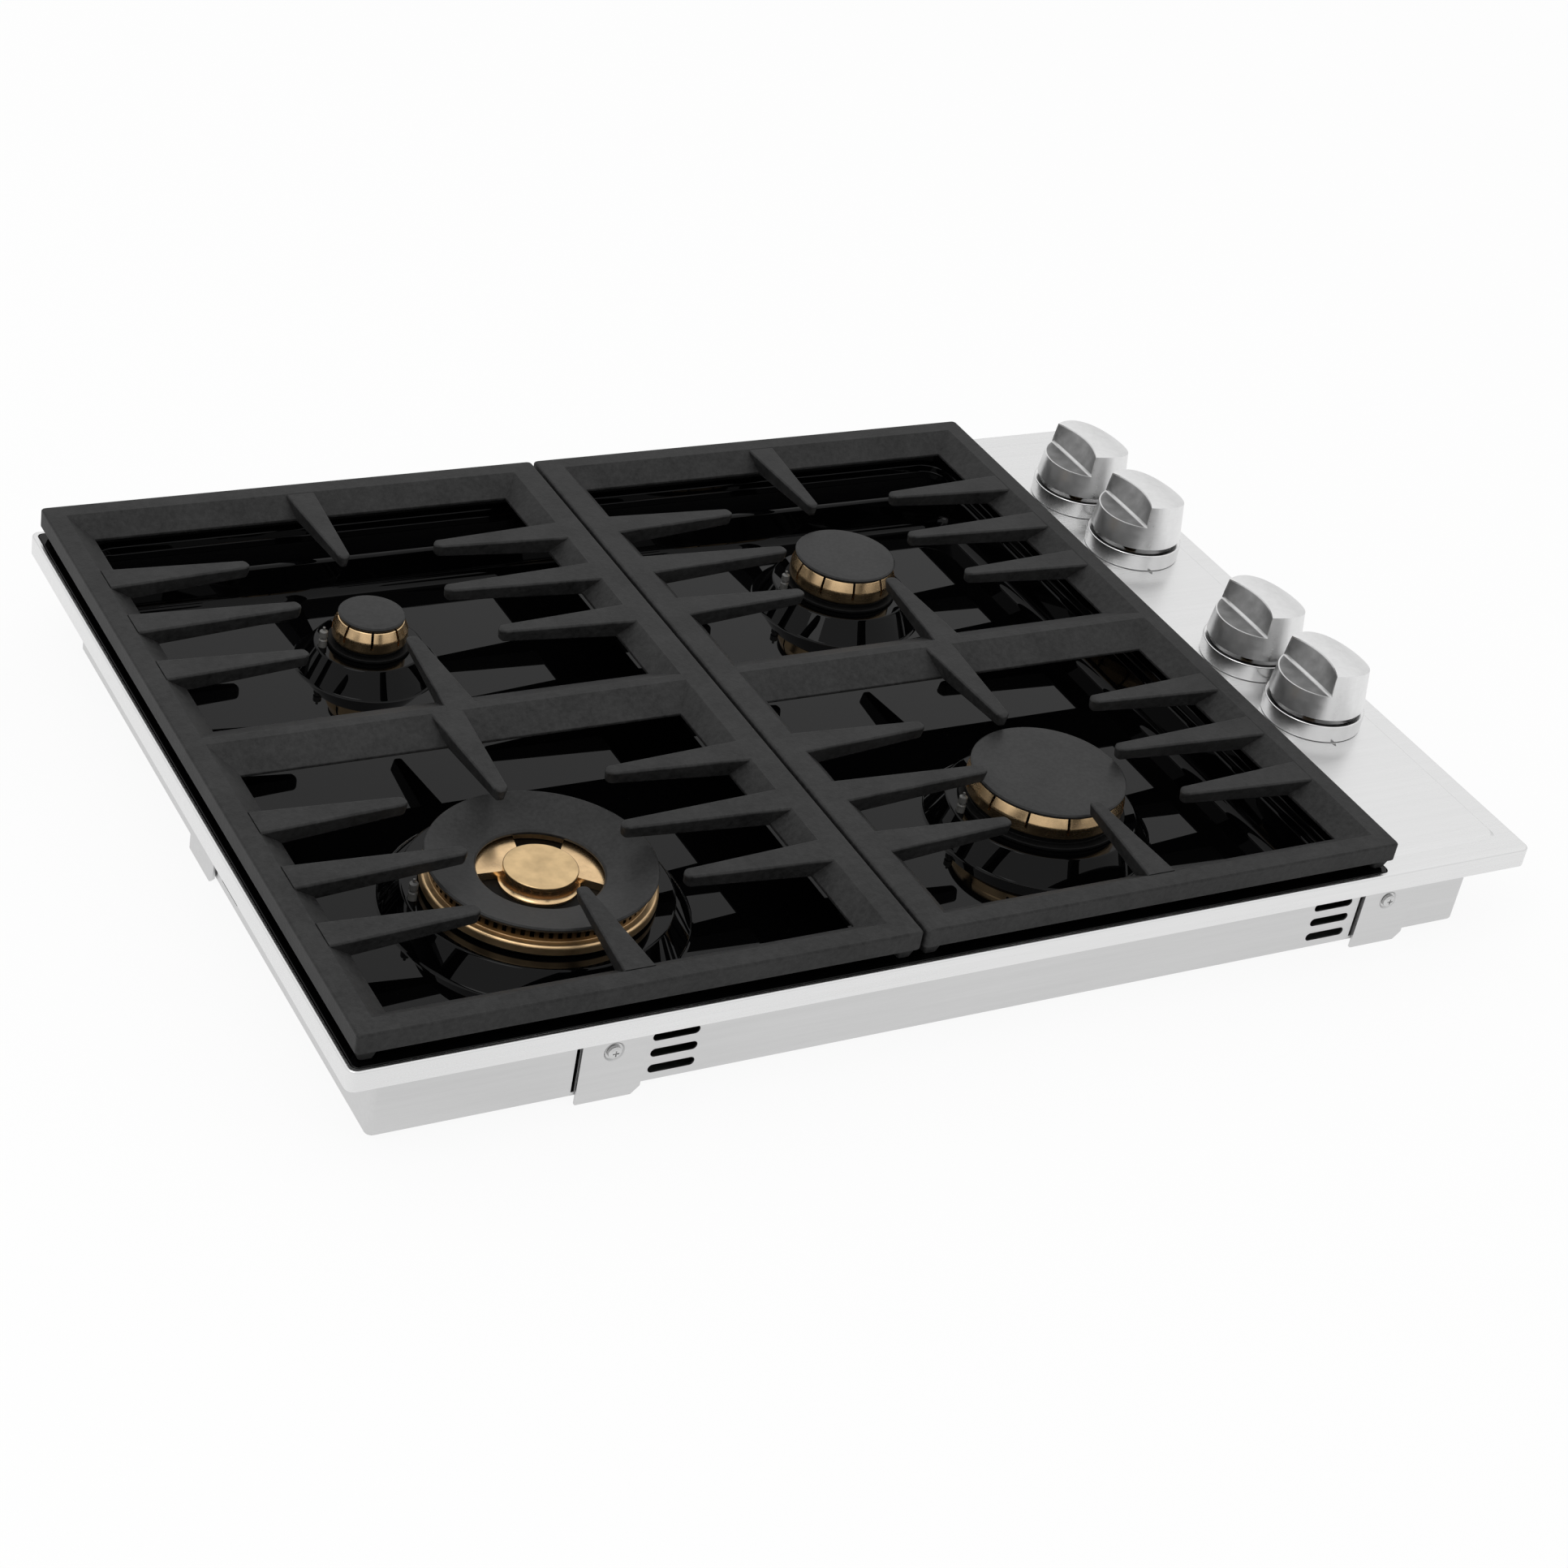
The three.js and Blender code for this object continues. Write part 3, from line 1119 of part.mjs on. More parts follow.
put('top_frame', topFrame(), STEEL);
put('spill_pan', spillPan(Object.values(BURNERS)), PORCELAIN);
put('burner_box', burnerBox(), BOX_STEEL);
put('counter_seal', counterSeal(), FOAM);

// the brackets of the other walls are the front one turned round the middle of the box
const frontLeft = holdDown(FRONT_BRACKET_LEFT);
const frontRight = holdDown(FRONT_BRACKET_RIGHT);
const midX = (BOX_LEFT + BOX_RIGHT) / 2;
const midY = (BOX_FRONT + BOX_BACK) / 2;
const about = (piece, degrees, x, y) =>
  piece.translate([-midX, -midY, 0]).rotate([0, 0, degrees]).translate([x, y, 0]);
const sideBracket = holdDown(midX - BRACKET_WIDTH / 2);
const sideY = SIDE_BRACKET_BACK - BRACKET_WIDTH / 2;
const reach = (BOX_BACK - BOX_FRONT) / 2;
put('front_left_hold_down', frontLeft, BOX_STEEL);
put('front_right_hold_down', frontRight, BOX_STEEL);
put('back_right_hold_down', about(frontLeft, 180, midX, midY), BOX_STEEL);
put('back_left_hold_down', about(frontRight, 180, midX, midY), BOX_STEEL);
put('left_hold_down', about(sideBracket, -90, BOX_LEFT + reach, sideY), BOX_STEEL);
put('right_hold_down', about(sideBracket, 90, BOX_RIGHT - reach, sideY), BOX_STEEL);

const RIGHT_GRATE = GRATE_INSET + GRATE_WIDTH + GRATE_GAP;
put('left_grate', grate(GRATE_INSET, DUAL, REAR_LEFT, true), IRON);
put('right_grate', grate(RIGHT_GRATE, FRONT_RIGHT, REAR_RIGHT, false), IRON);

put('rear_left_burner_base', burnerBase(REAR_LEFT, 90), CASTING);
put('rear_right_burner_base', burnerBase(REAR_RIGHT, 0), CASTING);
put('front_right_burner_base', burnerBase(FRONT_RIGHT, 0), CASTING);
put('front_left_burner_base', dualBase(), CASTING);
for (const name of ['rear_left', 'rear_right', 'front_right']) {
  put(`${name}_burner_head`, burnerHead(BURNERS[name]), BRASS);
  put(`${name}_burner_cap`, burnerCap(BURNERS[name]), ENAMEL);
}
put('front_left_ring_head', ringHead(), BRASS);
put('front_left_ring_cap', ringCap(), ENAMEL);
put('front_left_inner_head', innerHead(), BRASS);
put('front_left_inner_cap', innerCap(), BRASS);
for (const [name, burner] of Object.entries(BURNERS)) {
  put(`${name}_igniter`, igniter(burner), CERAMIC);
}

const DUAL_VALVE = 2;
KNOBS.forEach((y, i) => {
  const outlets = i === DUAL_VALVE ? [-TWIN_OUTLET, TWIN_OUTLET] : [0];
  put(`knob_${i + 1}`, knob(y), STEEL);
  put(`bezel_${i + 1}`, bezel(y), STEEL);
  put(`valve_stem_${i + 1}`, stem(y), BRASS);
  put(`push_plate_${i + 1}`, pushPlate(y), BOX_STEEL);
  put(`gas_valve_${i + 1}`, valve(y, outlets), ALUMINIUM);
});
put('gas_manifold', manifold(), ALUMINIUM);
put('gas_inlet_union', inletUnion(), BRASS);

const outlet = KNOB_X - VALVE_OUTLET - FIT;
const nipple = NIPPLE_REACH + FIT;
const sTube = (y, burner) => {
  const end = burner.x + nipple;
  const turn = end + (outlet - end) / 3;
  return gasTube([[outlet, y], [turn + 2 * TUBE_BEND, y], [turn, burner.y], [end, burner.y]]);
};
const lTube = (y, x, burner) => gasTube([[outlet, y], [x, y], [x, burner.y + nipple]]);
put('rear_left_gas_tube', lTube(KNOBS[0], REAR_LEFT.x, REAR_LEFT), ALUMINIUM);
put('rear_right_gas_tube', sTube(KNOBS[1], REAR_RIGHT), ALUMINIUM);
put('front_right_gas_tube', sTube(KNOBS[3], FRONT_RIGHT), ALUMINIUM);
put('front_left_ring_gas_tube',
  lTube(KNOBS[DUAL_VALVE] - TWIN_OUTLET, DUAL.x + RING_ORIFICE_OFFSET, DUAL), ALUMINIUM);
put('front_left_inner_gas_tube', lTube(KNOBS[DUAL_VALVE] + TWIN_OUTLET, DUAL.x, DUAL), ALUMINIUM);
put('spark_module', sparkModule(), PLASTIC);

export default cooktop;
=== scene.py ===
import math

import bmesh
import bpy
from bpy.props import FloatProperty, FloatVectorProperty, IntProperty, PointerProperty
from mathutils import Matrix, Vector


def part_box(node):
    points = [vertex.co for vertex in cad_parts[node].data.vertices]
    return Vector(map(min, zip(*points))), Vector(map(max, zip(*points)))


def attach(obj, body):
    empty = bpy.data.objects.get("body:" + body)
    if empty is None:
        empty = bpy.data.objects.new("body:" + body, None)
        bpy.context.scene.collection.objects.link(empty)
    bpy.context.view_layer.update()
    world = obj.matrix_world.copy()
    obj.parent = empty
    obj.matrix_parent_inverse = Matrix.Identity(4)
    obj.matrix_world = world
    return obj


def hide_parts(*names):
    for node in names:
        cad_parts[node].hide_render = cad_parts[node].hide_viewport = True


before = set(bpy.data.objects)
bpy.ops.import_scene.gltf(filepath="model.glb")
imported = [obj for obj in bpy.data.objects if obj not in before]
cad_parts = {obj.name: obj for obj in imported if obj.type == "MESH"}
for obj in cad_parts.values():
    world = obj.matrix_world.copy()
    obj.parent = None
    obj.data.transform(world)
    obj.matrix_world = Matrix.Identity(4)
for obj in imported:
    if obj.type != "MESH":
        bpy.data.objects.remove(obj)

bl_info = {
    "name": "Gas cooktop",
    "version": (1, 0, 0),
    "blender": (4, 5, 0),
    "location": "View3D > Sidebar > Cooktop",
    "description": "Dresses the cooktop's solids with finished pieces and stages the picture",
    "category": "Add Mesh",
}

# Every length below is in millimetres, x right, y back and z up from the worktop, measured from
# the front left corner of the flange. finished() moves a mesh into the frame, in metres.
MM = 0.001
WORKTOP_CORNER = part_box("top_frame")[0]
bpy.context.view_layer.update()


def span(node):
    """Low and high corner of a CAD node, in millimetres from the flange corner"""
    return tuple((corner - WORKTOP_CORNER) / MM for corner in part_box(node))


# ---- sizes that the pieces share with the frame -------------------------------------------

WIDTH, DEPTH, LIP_HEIGHT = span("top_frame")[1].x, 533.4, 12.6
FLANGE = (0, 0, WIDTH, DEPTH)
SHEET = 1.2
LIP_WIDTH = 3
FRAME_CORNER = 5
DECK_BOTTOM, DECK_TOP = 3.3, 4.5
APERTURE = (30, 24, 631.2, 478)
STRIP_LEFT = 655
STRIP_FIELD = (658, 15, 748, 518.4)
STRIP_TOP = 14.6
STRIP_SLOPE = 3
STEM_HOLE = 5.2
VALVE_WINDOW = (672, 722)             # left and right edge

BOX = (20, 14, 732, 488)
BOX_BOTTOM, BOX_TOP = -45, 3
BOX_CORNER = 4
BOX_FLANGE = 10
LOUVRE_LENGTH, LOUVRE_HEIGHT, LOUVRE_PITCH, LOUVRE_TOP = 28, 5.5, 10.8, -15
SLIT_WIDTH, SLIT_LOW, SLIT_HIGH = 2, -42, -13
BRACKET_WIDTH, BRACKET_LOW, BRACKET_HIGH, BRACKET_CHAMFER = 38, -50, -8, 5
BRACKET_BACK, BRACKET_FRONT, SCREW_FRONT, SCREW_LEVEL = 13.7, 12.1, 10.3, -18
FRONT_BRACKETS = (136, 652)
SIDE_BRACKET_BACK = 280
FRONT_LOUVRES = (178, 616)
INLET_HOLE, INLET_LEVEL = 7.3, -36

PAN = (3.3, 3.3, 654.7, 530.1)
PAN_FOOT = 4.8
PAN_RIM = (20, 14, 15, 18)            # left, front, right, back
POOL = (31.5, 25.5, 629.7, 476.5)
LEDGE, FLOOR, BOSS_TOP = 6, -15.5, -1
POOL_SLOPE = 4.5
ROLL_RUN, ROLL_LEVEL, LEDGE_RUN = 4, 11.2, 5

GRATE_LOW, GRATE_TOP = 20, 32
GRATE_X = ((4, 329.35), (331.15, 656.5))
GRATE_Y = (4, 528.3)
GRATE_FOOT = 7.5                      # its middle, in from the corner
BAR = (12, 26)                        # ridge and whole width of an outer bar
CENTRE_BAR = (17, 28)
WEB_MIDDLE, WEB_HALF, WEB_RIDGE = 266, 22, 3
CELLS = ((30, 244), (288, 502.3))
FINGER_PITCH, FINGER_REACH, SIDE_REACH = 50.5, 46, 60
FINGER_RISE = 3.5
ROOT_DEPTH = 13                       # how far a finger reaches into its bar
FINGER = (21, 9)                      # width at root and tip
THIN_FINGER = (19, 8)

BURNERS = {
    "rear_left": {"x": 165.4, "y": 390.8, "flange": 22.8, "cap": 20.4, "top": 20.5, "seat": 4,
                  "ports": 8, "inlet": 90},
    "rear_right": {"x": 494.5, "y": 391, "flange": 34.2, "cap": 33, "top": 21.9, "seat": 4.2,
                   "ports": 10, "inlet": 0},
    "front_right": {"x": 494, "y": 136, "flange": 48.2, "cap": 47.4, "top": 22.3, "seat": 5.9,
                    "ports": 12, "inlet": 0},
    "front_left": {"x": 164.5, "y": 136.8, "flange": 66, "cap": 65, "top": 17.6, "seat": 1,
                   "inlet": 90},
}
SINGLES = ("rear_left", "rear_right", "front_right")
CAP_THICKNESS = 2.8
HEAD_TURN = 262                       # direction in which a head shows the camera a plain stretch
FIT = 0.3
THROAT, THROAT_BORE = 8.4, 6
RING_INSIDE, RING_HOLE, RING_FALL = 40.8, 35.5, 7.6
RING_FEED = 50                        # second mixing tube of the dual burner, right of the middle
INNER_CAP, INNER_CAP_TOP = 21, 12
INNER_HEAD, INNER_STEP = 22, 22.8
INNER_CAP_THICKNESS = 2.4
INNER_WALL, INNER_NECK = 5, 2.4       # of the inner head, in from its radius
INNER_PORTS = 24
FLARE_FOOT, FLARE_RISE = 1.6, 6
RING_LEDGE, RING_WALL, RING_SPIGOT = 5.6, 61, 57.7
RING_PORT_LOW = 7.8
WINGS = (92, 332)                     # first edge of each, in degrees
WING_SPAN, WING_TOP = 71, 6
WING_FLARE, WING_WAIST = 3, 9         # wider at the ring, narrower at the head, in degrees
HEAD_TAPER, HEAD_WALL = 1.2, 3
BOSS_MARGIN = 10
BURNER_HOLE, IGNITER_HOLE = 11.3, 2.9
IGNITER_OFFSET, IGNITER_ANGLE = 6, 175

KNOB_X = 708.8
KNOB_Y = (440.5, 370.5, 229.5, 159.5)
KNOB_BOTTOM, KNOB_TOP = 29.3, 60
KNOB_RADIUS, KNOB_TOP_RADIUS = 30.6, 26.8
CROWN, CROWN_LEFT = 80, 5             # radius of the bowed top, its crest left of the axis
SCOOP_DEPTH, SCOOP_FOOT = 14.5, 12    # level floor below the top, its straight edge left of the axis
BEZEL_BOTTOM, BEZEL_TOP = 14.9, 26
BEZEL_INSIDE, BEZEL_OUTSIDE = 28.2, 32
CAVITY, CAVITY_TOP, HUB, STEM_BORE = 27.1, 23.3, 8, 4.3
MARK_START, MARK_END, MARK_TURN = 33.2, 35.6, 261

# the camera that the photograph was taken with, in metres
CAMERA_PLACE = (-0.8954, -1.3459, 1.0483)
CAMERA_RIGHT = (0.87189, -0.46048, 0.16661)
CAMERA_DOWN = (-0.13558, -0.55392, -0.82146)
CAMERA_AHEAD = (0.47055, 0.69363, -0.54539)
LAMP_PLACE, LAMP_SIZE, LAMP_WATTS = (-1.3, -0.6, 2.2), 1.4, 10
FLOOR_REACH = 9


# ---- profiles and skins -------------------------------------------------------------------

def soft(corners, steps=4, closed=False):
    """Profile with rounded corners, each given as (u, v) or (u, v, radius); every point of the
    answer ends in the number of the corner that it rounds"""
    points = []
    count = len(corners)
    for number, corner in enumerate(corners):
        here = Vector(corner[:2])
        radius = corner[2] if len(corner) > 2 else 0
        if radius == 0 or (not closed and number in (0, count - 1)):
            points.append((here.x, here.y, number))
            continue
        back = Vector(corners[number - 1][:2]) - here
        ahead = Vector(corners[(number + 1) % count][:2]) - here
        half = back.angle(ahead) / 2
        reach = min(radius / math.tan(half), 0.48 * back.length, 0.48 * ahead.length)
        middle = (back.normalized() + ahead.normalized()).normalized()
        centre = here + middle * (reach / math.cos(half))
        first = here + back.normalized() * reach - centre
        last = here + ahead.normalized() * reach - centre
        turn = math.atan2(first.cross(last), first.dot(last))
        for step in range(steps + 1):
            point = centre + Matrix.Rotation(turn * step / steps, 2) @ first
            points.append((point.x, point.y, number))
    return points


def laid(u, v, along, axis):
    """Point of a flat drawing that stands across an axis"""
    return {"x": (along, u, v), "y": (u, along, v), "z": (u, v, along)}[axis]


def outline(area, radius, level, steps=6, inset=(0, 0, 0, 0)):
    """Level loop round a rectangle with rounded corners, moved in at its left, front, right, back"""
    x0, y0, x1, y1 = area[0] + inset[0], area[1] + inset[1], area[2] - inset[2], area[3] - inset[3]
    middles = ((x1 - radius, y0 + radius), (x1 - radius, y1 - radius),
               (x0 + radius, y1 - radius), (x0 + radius, y0 + radius))
    loop = []
    for quarter, (x, y) in enumerate(middles):
        for step in range(steps + 1):
            angle = math.pi / 2 * (quarter - 1 + step / steps)
            loop.append((x + radius * math.cos(angle), y + radius * math.sin(angle), level))
    return loop


def circle(radius, along, centre=(0, 0), axis="z", sides=96):
    """Loop of points round an axis"""
    turns = (2 * math.pi * i / sides for i in range(sides))
    return [laid(centre[0] + radius * math.cos(a), centre[1] + radius * math.sin(a), along, axis)
            for a in turns]


def skin(loops, closed=False):
    """Faces between loops of equally many points; the last loop joins the first, or both are capped"""
    count, rows = len(loops[0]), len(loops)
    points = [point for loop in loops for point in loop]
    faces = []
    for row in range(rows if closed else rows - 1):
        low, high = row * count, (row + 1) % rows * count
        faces += [(low + i, low + (i + 1) % count, high + (i + 1) % count, high + i)
                  for i in range(count)]
    if not closed:
        faces.append(tuple(reversed(range(count))))
        faces.append(tuple(range((rows - 1) * count, rows * count)))
    return points, faces


def turned(profile, centre=(0, 0), axis="z", sides=96, closed=False):
    """Skin of a profile of (radius, along) turned round an axis"""
    return skin([circle(point[0], point[1], centre, axis, sides) for point in profile], closed)


def rod(radius, low, high, centre=(0, 0), axis="z", sides=48):
    """Round bar"""
    return turned([(radius, low), (radius, high)], centre, axis, sides)


def prism(area, radius, low, high, axis="z", steps=6):
    """Rounded rectangle pulled along an axis"""
    flat = outline(area, max(radius, 0.01), 0, steps if radius else 1)
    return skin([[laid(u, v, along, axis) for u, v, _ in flat] for along in (low, high)])


def drawn(flat, low, high, axis="z"):
    """Any flat loop of points pulled along an axis"""
    return skin([[laid(point[0], point[1], along, axis) for point in flat] for along in (low, high)])


def moved(solid, matrix):
    """The same skin somewhere else"""
    points, faces = solid
    return [tuple(matrix @ Vector(point)) for point in points], faces


def shift(solid, x, y, z=0):
    """The same skin moved along"""
    return moved(solid, Matrix.Translation((x, y, z)))


def swung(solid, degrees, centre=(0, 0)):
    """The same skin turned round an upright axis"""
    there = Matrix.Translation((*centre, 0))
    return moved(solid, there @ Matrix.Rotation(math.radians(degrees), 4, "Z") @ there.inverted())


# ---- from skins to pieces -----------------------------------------------------------------

def mesh_of(solid):
    """Mesh with its faces turned outwards"""
    points, faces = solid
    mesh = bpy.data.meshes.new("skin")
    mesh.from_pydata(points, [], faces)
    work = bmesh.new()
    work.from_mesh(mesh)
    bmesh.ops.recalc_face_normals(work, faces=work.faces)
    work.to_mesh(mesh)
    work.free()
    return mesh


def placed(mesh, name="work"):
    """Object that shows a mesh"""
    piece = bpy.data.objects.new(name, mesh)
    bpy.context.scene.collection.objects.link(piece)
    return piece


def applied(piece):
    """The piece's mesh once its modifiers have run; the piece itself goes"""
    depsgraph = bpy.context.evaluated_depsgraph_get()
    depsgraph.update()
    mesh = bpy.data.meshes.new_from_object(piece.evaluated_get(depsgraph))
    bpy.data.objects.remove(piece)
    if not mesh.polygons:
        raise RuntimeError("a cut left nothing of a piece")
    return mesh


def cut(*solids):
    """Steps that take solids away"""
    return [("DIFFERENCE", solid) for solid in solids]


def join(*solids):
    """Steps that add solids"""
    return [("UNION", solid) for solid in solids]


def worked(solid, *steps):
    """Mesh of a solid after steps made by join() and cut(), in their order"""
    body = placed(mesh_of(solid))
    tools = []
    for operation, tool in steps:
        tools.append(placed(mesh_of(tool)))
        change = body.modifiers.new(operation, "BOOLEAN")
        change.operation = operation
        change.solver = "MANIFOLD"
        change.object = tools[-1]
    mesh = applied(body)
    for tool in tools:
        bpy.data.objects.remove(tool)
    return mesh


def joined(*meshes):
    """One mesh of several that stand clear of each other"""
    work = bmesh.new()
    for mesh in meshes:
        work.from_mesh(mesh)
    whole = bpy.data.meshes.new("joined")
    work.to_mesh(whole)
    work.free()
    return whole


def eased(mesh, width, segments=2, angle=35):
    """The same mesh with its sharp edges rounded"""
    work = bmesh.new()
    work.from_mesh(mesh)
    bmesh.ops.remove_doubles(work, verts=work.verts, dist=0.01)
    flat = [edge for edge in work.edges
            if len(edge.link_faces) == 2 and edge.calc_face_angle(0) < math.radians(0.05)]
    bmesh.ops.dissolve_edges(work, edges=flat, use_verts=False)
    work.to_mesh(mesh)
    work.free()
    body = placed(mesh)
    bevel = body.modifiers.new("ease", "BEVEL")
    bevel.width = width
    bevel.segments = segments
    bevel.limit_method = "ANGLE"
    bevel.angle_limit = math.radians(angle)
    bevel.harden_normals = False
    return applied(body)


def finished(name, mesh, finish, body, nodes=(), crease=32):
    """Names a mesh, shades it, moves it into the frame and puts it on its body"""
    mesh.shade_smooth()
    mesh.set_sharp_from_angle(angle=math.radians(crease))
    shaped = placed(mesh)
    flatten = shaped.modifiers.new("flat faces stay flat", "WEIGHTED_NORMAL")
    flatten.mode = "FACE_AREA_WITH_ANGLE"
    flatten.weight = 80
    flatten.keep_sharp = True
    mesh = applied(shaped)
    mesh.name = name
    mesh.transform(Matrix.Translation(WORKTOP_CORNER) @ Matrix.Scale(MM, 4))
    piece = placed(mesh, name)
    mesh.materials.clear()
    mesh.materials.append(material(finish))
    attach(piece, body)
    if nodes:
        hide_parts(*nodes)
    return piece


def dress(node, finish):
    """Gives a CAD node that stays in view its finish"""
    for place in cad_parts[node].material_slots:
        place.material = material(finish)


# ---- materials ----------------------------------------------------------------------------

class Level:
    """A shader number that varies over a surface, so that shader sums read as plain ones"""

    def __init__(self, finish, socket):
        self.finish = finish
        self.socket = socket

    def maths(self, operation, first, second):
        return self.finish.node("ShaderNodeMath", {"operation": operation}, {0: first, 1: second})

    def __add__(self, other):
        return self.maths("ADD", self, other)

    def __sub__(self, other):
        return self.maths("SUBTRACT", self, other)

    def __rsub__(self, other):
        return self.maths("SUBTRACT", other, self)

    def __mul__(self, other):
        return self.maths("MULTIPLY", self, other)

    __radd__ = __add__
    __rmul__ = __mul__

    def between(self, low, high, to_low=0.0, to_high=1.0):
        """Maps a range onto another, kept inside it"""
        return self.finish.node("ShaderNodeMapRange", {"clamp": True}, {
            "Value": self, "From Min": low, "From Max": high,
            "To Min": to_low, "To Max": to_high})


class Finish:
    """A procedural material, or the world, and the nodes it is made of"""

    def __init__(self, owner):
        self.owner = owner
        owner.use_nodes = True
        self.tree = owner.node_tree
        self.tree.nodes.clear()

    def node(self, kind, settings=None, sockets=None, output=0):
        """Adds a node: its settings first, then the values or links of its sockets"""
        made = self.tree.nodes.new(kind)
        for setting, value in (settings or {}).items():
            setattr(made, setting, value)
        for key, value in (sockets or {}).items():
            if isinstance(value, Level):
                self.tree.links.new(value.socket, made.inputs[key])
            else:
                made.inputs[key].default_value = value
        return Level(self, made.outputs[output]) if len(made.outputs) else None

    def place(self, stretch=(1, 1, 1), start=None):
        """Coordinates of the piece in metres, stretched along its axes"""
        start = start or self.node("ShaderNodeTexCoord", output="Object")
        return self.node("ShaderNodeVectorMath", {"operation": "MULTIPLY"}, {0: start, 1: stretch})

    def noise(self, scale, stretch=(1, 1, 1), detail=2.0, rough=0.5, start=None):
        """Soft noise from 0 to 1, with about scale bumps a metre"""
        return self.node("ShaderNodeTexNoise", {}, {
            "Vector": self.place(stretch, start), "Scale": scale, "Detail": detail,
            "Roughness": rough})

    def blend(self, factor, first, second):
        """Colour between two colours"""
        return self.node("ShaderNodeMix", {"data_type": "RGBA"}, {0: factor, 6: first, 7: second},
                         output=2)

    def bump(self, height, depth, strength):
        """Fine relief, its depth in metres"""
        return self.node("ShaderNodeBump", {}, {
            "Height": height, "Distance": depth, "Strength": strength})

    def surface(self, **sockets):
        """Ends the material in one glossy or matte surface"""
        named = {key.replace("_", " "): value for key, value in sockets.items()}
        shader = self.node("ShaderNodeBsdfPrincipled", {}, named)
        self.node("ShaderNodeOutputMaterial", {}, {"Surface": shader})


def shade(colour, amount):
    """A colour made darker or paler"""
    return (*(min(1.0, channel * amount) for channel in colour[:3]), 1.0)


def brushed(finish, colours, colour, stretch, rough, streak):
    """Fine parallel scratches along one direction of a metal"""
    fine = finish.noise(2600, stretch, 2.0)
    broad = finish.noise(330, stretch, 3.0)
    cloud = finish.noise(9)
    tone = (fine * 0.35 + broad * 0.4 + cloud * 0.25).between(0.3, 0.7)
    finish.surface(
        Base_Color=finish.blend(tone, shade(colour, 1 - streak), shade(colour, 1 + streak)),
        Metallic=1.0,
        Roughness=(fine * 0.12 + cloud * 0.1 + (rough - 0.11)),
        Normal=finish.bump(fine * 0.6 + broad * 0.4, 0.000012, 0.5),
    )


def brushed_steel(finish, colours):
    """Steel of the flange, brushed along its width"""
    brushed(finish, colours, colours.steel, (0.02, 1, 1), 0.29, 0.035)


def pressed_steel(finish, colours):
    """Plainer steel of the box and its brackets"""
    brushed(finish, colours, colours.box_steel, (0.03, 1, 1), 0.38, 0.05)


def from_axis(finish):
    """A point's place from the axis of its knob, in metres, and its distance from that axis"""
    place = finish.node("ShaderNodeAttribute", {"attribute_name": "from_axis"}, output="Vector")
    flat = finish.place((1, 1, 0), place)
    radius = finish.node("ShaderNodeVectorMath", {"operation": "LENGTH"}, {0: flat}, output="Value")
    return place, radius


def spun_steel(finish, colours, gloss=0.04, grip=None):
    """Turning lines round the axis of a knob or a bezel ring; grip is a mask of the hollow, which gets
    painted shade and dark reflection over the metal and a rougher skin
    """
    place, radius = from_axis(finish)
    level = finish.node("ShaderNodeSeparateXYZ", {}, {0: place}, output="Z")
    groove = finish.node("ShaderNodeCombineXYZ", {}, {"X": radius, "Y": level})
    fine = finish.noise(2400, start=groove)
    band = finish.noise(150, (1, 1, 0.06), 2.0, start=place)
    smear = finish.noise(260, detail=3.0, start=place)
    tone = (fine * 0.2 + band * 0.4 + smear * 0.4).between(0.32, 0.68)
    polish = finish.blend(tone, shade(colours.knob, 0.93), shade(colours.knob, 1.05))
    rough = fine * 0.08 + smear * 0.12 + band * 0.08 + gloss
    if grip:
        patch = finish.noise(110, detail=3.0, start=place).between(0.3, 0.7)
        # painted shade and dark reflection for the hollow, mottled at random
        grip_shade_colour = finish.blend(patch, shade(colours.knob, 0.27), shade(colours.knob, 0.4))
        polish = finish.blend(grip, polish, grip_shade_colour)
        rough = rough + grip * 0.2
    finish.surface(
        Base_Color=polish,
        Metallic=1.0,
        Roughness=rough,
        Normal=finish.bump(fine * 0.5 + smear * 0.5, 0.00002, 0.4),
    )


def knob_steel(finish, colours):
    """Spun steel with painted shade and dark reflection over the finger grip, which is also rougher; the
    shade stops short of the grip's edges, which keep painted highlights
    """
    place, radius = from_axis(finish)
    along = finish.node("ShaderNodeSeparateXYZ", {}, {0: place}, output="X")
    level = finish.node("ShaderNodeSeparateXYZ", {}, {0: place}, output="Z")
    height = (KNOB_TOP - KNOB_BOTTOM) * MM
    taper = (KNOB_RADIUS - KNOB_TOP_RADIUS) * MM / height
    # this mask is nothing within 0.6 mm of the knob's side, which leaves a painted highlight along the
    # grip's rim
    inside = (KNOB_RADIUS * MM - level * taper - radius).between(0.0006, 0.0011)
    side = along + CROWN_LEFT * MM
    # this one leaves a painted highlight along the bowed top edge of the grip
    below = (height - side * side * (0.5 / (CROWN * MM)) - level).between(0.0005, 0.0012)
    floor = height - SCOOP_DEPTH * MM
    # this one leaves a painted highlight line along the foot of the scoop's wall
    foot = finish.node("ShaderNodeVectorMath", {"operation": "LENGTH"}, {
        0: finish.node("ShaderNodeCombineXYZ", {}, {"X": along + SCOOP_FOOT * MM, "Y": level - floor})},
        output="Value").between(0.0011, 0.0017)
    # the grip gets painted shade, with painted highlights left along its edges
    spun_steel(finish, colours, 0.17, inside * below * foot)


def porcelain(finish, colours):
    """Gloss black enamel, almost a mirror, with the slow waves and the rare dust of a fired coat"""
    wave = finish.noise(30, detail=1.0)
    dust = finish.noise(1700, detail=1.0).between(0.76, 0.82)
    finish.surface(
        Base_Color=finish.blend(dust, colours.porcelain, shade(colours.grate, 1.0)),
        Roughness=wave * 0.012 + dust * 0.2 + 0.012,
        Specular_IOR_Level=0.14,
        Normal=finish.bump(wave, 0.00004, 0.2),
    )


